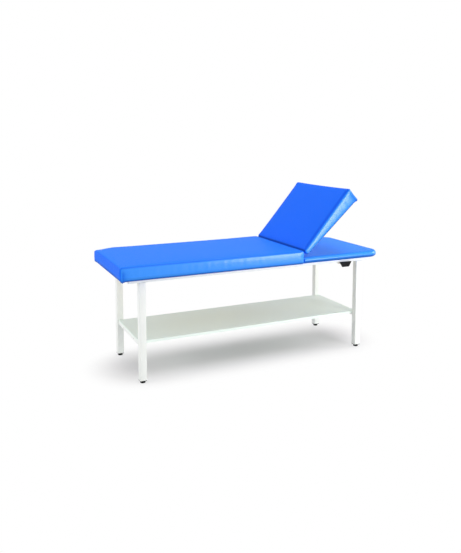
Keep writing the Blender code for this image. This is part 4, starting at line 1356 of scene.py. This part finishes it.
# Points up each head, as shares of its radius and its height.
PAN_SHARES = ((1.0, 0.35), (0.86, 0.75), (0.55, 1.0))
PAN_HEIGHT = 0.0022
FLAT_SHARES = ((1.0, 0.4), (0.95, 1.0), (0.55, 1.0))
FLAT_HEIGHT = 0.0006
RAIL_SCREW_XS = (-0.60, -0.20, 0.16, 0.52)
SHELF_SCREW_Y = 0.12
HINGE_Y = 0.165
HINGE_SCREW_REACH = 0.024
LEAF_FACE = 0.3193
LEAF_SCREW_HEIGHT = 0.661
FLANGE_THICKNESS = 0.004
BRACKET_SCREW_XS = (0.3825, 0.7100)
BRACKET_SCREW_YS = (0.0255, 0.0445)
GUIDE_SCREW_XS = (0.3930, 0.4180)
GUIDE_SCREW_Y = -0.0165
BACK_LEAF_SCREW = (0.031, -0.0278)
ARM_FOOT_XS = (0.134 - 0.027, 0.134 + 0.027)
ARM_FOOT_YS = (-0.0125, 0.0125)
ARM_FOOT_UNDER = -0.0280


def screw_mesh(name, shares, height):
    """A screw head standing up from the origin along Z, with a cross recess."""
    profile = [(SCREW_HEAD, -SCREW_SUNK)]
    profile += [(radius * SCREW_HEAD, rise * height) for radius, rise in shares]
    bm = spun(profile, (0.0, 0.0), SCREW_SIDES)
    ends = [face for face in bm.faces if len(face.verts) == SCREW_SIDES]
    cap = max(ends, key=lambda face: face.calc_center_median().z)
    bmesh.ops.inset_region(bm, faces=[cap], thickness=0.12 * SCREW_HEAD, depth=0.0)
    for vertex in cap.verts:
        turn = (np.arctan2(vertex.co.y, vertex.co.x) + pi / 4) % (pi / 2) - pi / 4
        reach = 0.42 * SCREW_HEAD if abs(turn) < 0.30 else 0.16 * SCREW_HEAD
        vertex.co.xy = vertex.co.xy.normalized() * reach
    pressed = bmesh.ops.extrude_discrete_faces(bm, faces=[cap])["faces"]
    for vertex in pressed[0].verts:
        vertex.co.xy *= 0.8
        vertex.co.z -= 0.6 * height
    return to_mesh(name, bm)


def screw_tree():
    """A screw on each point, facing along the point's own direction and turned at random."""
    tree, given, result = new_tree("screws", {"Screw": "Object", "Seed": "Int", "Metal": "Material"})
    facing = step(tree, "GeometryNodeInputNamedAttribute", {"data_type": "FLOAT_VECTOR"}, {"Name": "facing"})
    upright = step(tree, "FunctionNodeAlignRotationToVector", {"axis": "Z"}, {"Vector": facing})
    limits = {2: 0.0, 3: 2 * pi, "Seed": given["Seed"]}
    spin = step(tree, "FunctionNodeRandomValue", {"data_type": "FLOAT"}, limits, 1)
    points = step(tree, "GeometryNodeMeshToPoints", {}, {"Mesh": given["Geometry"]})
    return close_tree(tree, result, set_out(tree, points, given["Screw"], upright, spin), given["Metal"])


def drive(name, body, spots, shape, flat=Matrix()):
    """Screws at spots, which are a place and the direction that the head faces."""
    mesh = bpy.data.meshes.new(name + "_spots")
    mesh.from_pydata([place for place, _ in spots], [], [])
    facing = mesh.attributes.new("facing", "FLOAT_VECTOR", "POINT")
    for number, (_, direction) in enumerate(spots):
        facing.data[number].vector = direction
    holder = bpy.data.objects.new(name + "_shape", shape)
    heads = run_tree(name, mesh, screws, {"Screw": holder, "Seed": SCREW_SEED, "Metal": zinc_plate})
    bpy.data.objects.remove(holder)
    heads.transform(flat)
    settle(name, heads, body, zinc_plate)


screws = screw_tree()
down, headward, footward = (0.0, 0.0, -1.0), (1.0, 0.0, 0.0), (-1.0, 0.0, 0.0)
hinge_ys = [side * HINGE_Y + reach for side in (-1, 1) for reach in (-HINGE_SCREW_REACH, HINGE_SCREW_REACH)]
rail_low, rail_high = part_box("side_rail_near")
rail_middle = (rail_low.y + rail_high.y) / 2
table_spots = [((x, side * rail_middle, rail_low.z), down) for x in RAIL_SCREW_XS for side in (-1, 1)]
for shelf_end, direction in (("foot", footward), ("head", headward)):
    bar_low, bar_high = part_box(f"shelf_rail_{shelf_end}")
    bar_x = bar_low.x if shelf_end == "foot" else bar_high.x
    bar_middle = (bar_low.z + bar_high.z) / 2
    table_spots += [((bar_x, side * SHELF_SCREW_Y, bar_middle), direction) for side in (-1, 1)]
table_spots += [((LEAF_FACE, y, LEAF_SCREW_HEIGHT), headward) for y in hinge_ys]
flange_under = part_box("quadrant_guide")[1].z - FLANGE_THICKNESS
table_spots += [((x, y, flange_under), down) for x in BRACKET_SCREW_XS for y in BRACKET_SCREW_YS]
table_spots += [((x, GUIDE_SCREW_Y, flange_under), down) for x in GUIDE_SCREW_XS]
drive("table_screws", "table", table_spots, screw_mesh("pan_head", PAN_SHARES, PAN_HEIGHT))
back_spots = [((BACK_LEAF_SCREW[0], y, BACK_LEAF_SCREW[1]), down) for y in hinge_ys]
back_spots += [((x, y, ARM_FOOT_UNDER), down) for x in ARM_FOOT_XS for y in ARM_FOOT_YS]
drive("back_screws", "back", back_spots, screw_mesh("flat_head", FLAT_SHARES, FLAT_HEIGHT), raised)

# Stage, light and camera
# A plain pale floor in a white surround, and four soft lamps: above, near right, left and beyond the head.
# The camera looks at the near side from past the foot end.
SHADOW_LENGTH = 0.70
WHITE_FROM = 0.05
WHITE_BEYOND = 0.45
FLOOR_REACH = 40.0
FLOOR_PALE = (0.75, 0.73, 0.74, 1.0)
WHITE = (1.0, 1.0, 1.0, 1.0)
SURROUND_LIGHT = 0.72


def shown_by(wire):
    """1 for what the camera sees straight on, or in gloss or glass, and 0 for the light that bounces."""
    shown = 0.0
    for ray in ("Is Camera Ray", "Is Glossy Ray", "Is Transmission Ray"):
        shown = wire.math("MAXIMUM", shown, wire.node("LightPath", {}, {}, ray))
    return shown


def floor_finish():
    """A matt floor that keeps the shadow, and is white to the camera away from the table."""
    settings = {"Base Color": FLOOR_PALE, "Roughness": 0.9, "Specular IOR Level": 0.0}
    material, wire, sockets = coating("pale_floor", settings)
    nodes = wire.tree.nodes
    place = place_on(wire)
    along = wire.node("SeparateXYZ", {}, {"Vector": place}, "X")
    across = wire.node("SeparateXYZ", {}, {"Vector": place}, "Y")
    beyond = wire.math("MAXIMUM", (along * along) ** 0.5 - SHADOW_LENGTH, 0.0)
    away = (beyond * beyond + across * across) ** 0.5
    fade = {"Value": away, "From Min": WHITE_FROM, "From Max": WHITE_BEYOND}
    far = wire.node("MapRange", {"interpolation_type": "SMOOTHSTEP"}, fade)
    white = wire.node("Emission", {}, {"Color": WHITE, "Strength": 1.0})
    matt = Wire(wire.tree, nodes["Principled BSDF"].outputs[0])
    surface = wire.node("MixShader", {}, {0: shown_by(wire) * far, 1: matt, 2: white})
    wire.feed(nodes["Material Output"].inputs["Surface"], surface)
    return material


floor_mesh = bpy.data.meshes.new("floor")
floor_signs = ((-1, -1), (1, -1), (1, 1), (-1, 1))
floor_corners = [(x * FLOOR_REACH, y * FLOOR_REACH, 0.0) for x, y in floor_signs]
floor_mesh.from_pydata(floor_corners, [], [(0, 1, 2, 3)])
floor_mesh.materials.append(floor_finish())
put("floor", floor_mesh)

world = bpy.data.worlds.new("surround")
bpy.context.scene.world = world
world.use_nodes = True
sky = Wire(world.node_tree)
background = world.node_tree.nodes["Background"]
background.inputs["Color"].default_value = WHITE
sky.feed(background.inputs["Strength"], SURROUND_LIGHT + (1 - SURROUND_LIGHT) * shown_by(sky))


def soft_lamp(name, place, aim, size, power):
    """A rectangular lamp that the camera does not see."""
    lamp = bpy.data.lights.new(name, "AREA")
    lamp.shape = "RECTANGLE"
    lamp.size, lamp.size_y = size
    lamp.energy = power
    holder = put(name, lamp)
    holder.visible_camera = False
    holder.location = place
    holder.rotation_euler = (Vector(aim) - Vector(place)).to_track_quat("-Z", "Y").to_euler()


soft_lamp("lamp_above", (1.1, 0.2, 5.0), (0.1, 0.0, 0.3), (2.6, 2.0), 68.0)
soft_lamp("lamp_near_right", (2.05, -3.6, 0.85), (0.2, -0.36, 0.75), (1.3, 1.4), 64.0)
soft_lamp("lamp_left", (-3.8, 0.2, 1.6), (-0.3, 0.0, 0.5), (1.5, 1.0), 31.0)
soft_lamp("lamp_head", (3.4, -0.8, 1.6), (0.7, 0.0, 0.75), (1.2, 1.2), 24.0)

camera = bpy.data.cameras.new("camera")
camera.sensor_width = 36.0
camera.lens = 40.37
camera.shift_x = -0.00356
camera.shift_y = -0.1371
camera_holder = put("camera", camera)
camera_holder.location = (-1.8881, -3.9221, 1.5520)
camera_holder.rotation_euler = (radians(90 - 6.090), 0.0, radians(-24.952))
bpy.context.scene.camera = camera_holder
bpy.context.scene.view_settings.view_transform = "Standard"
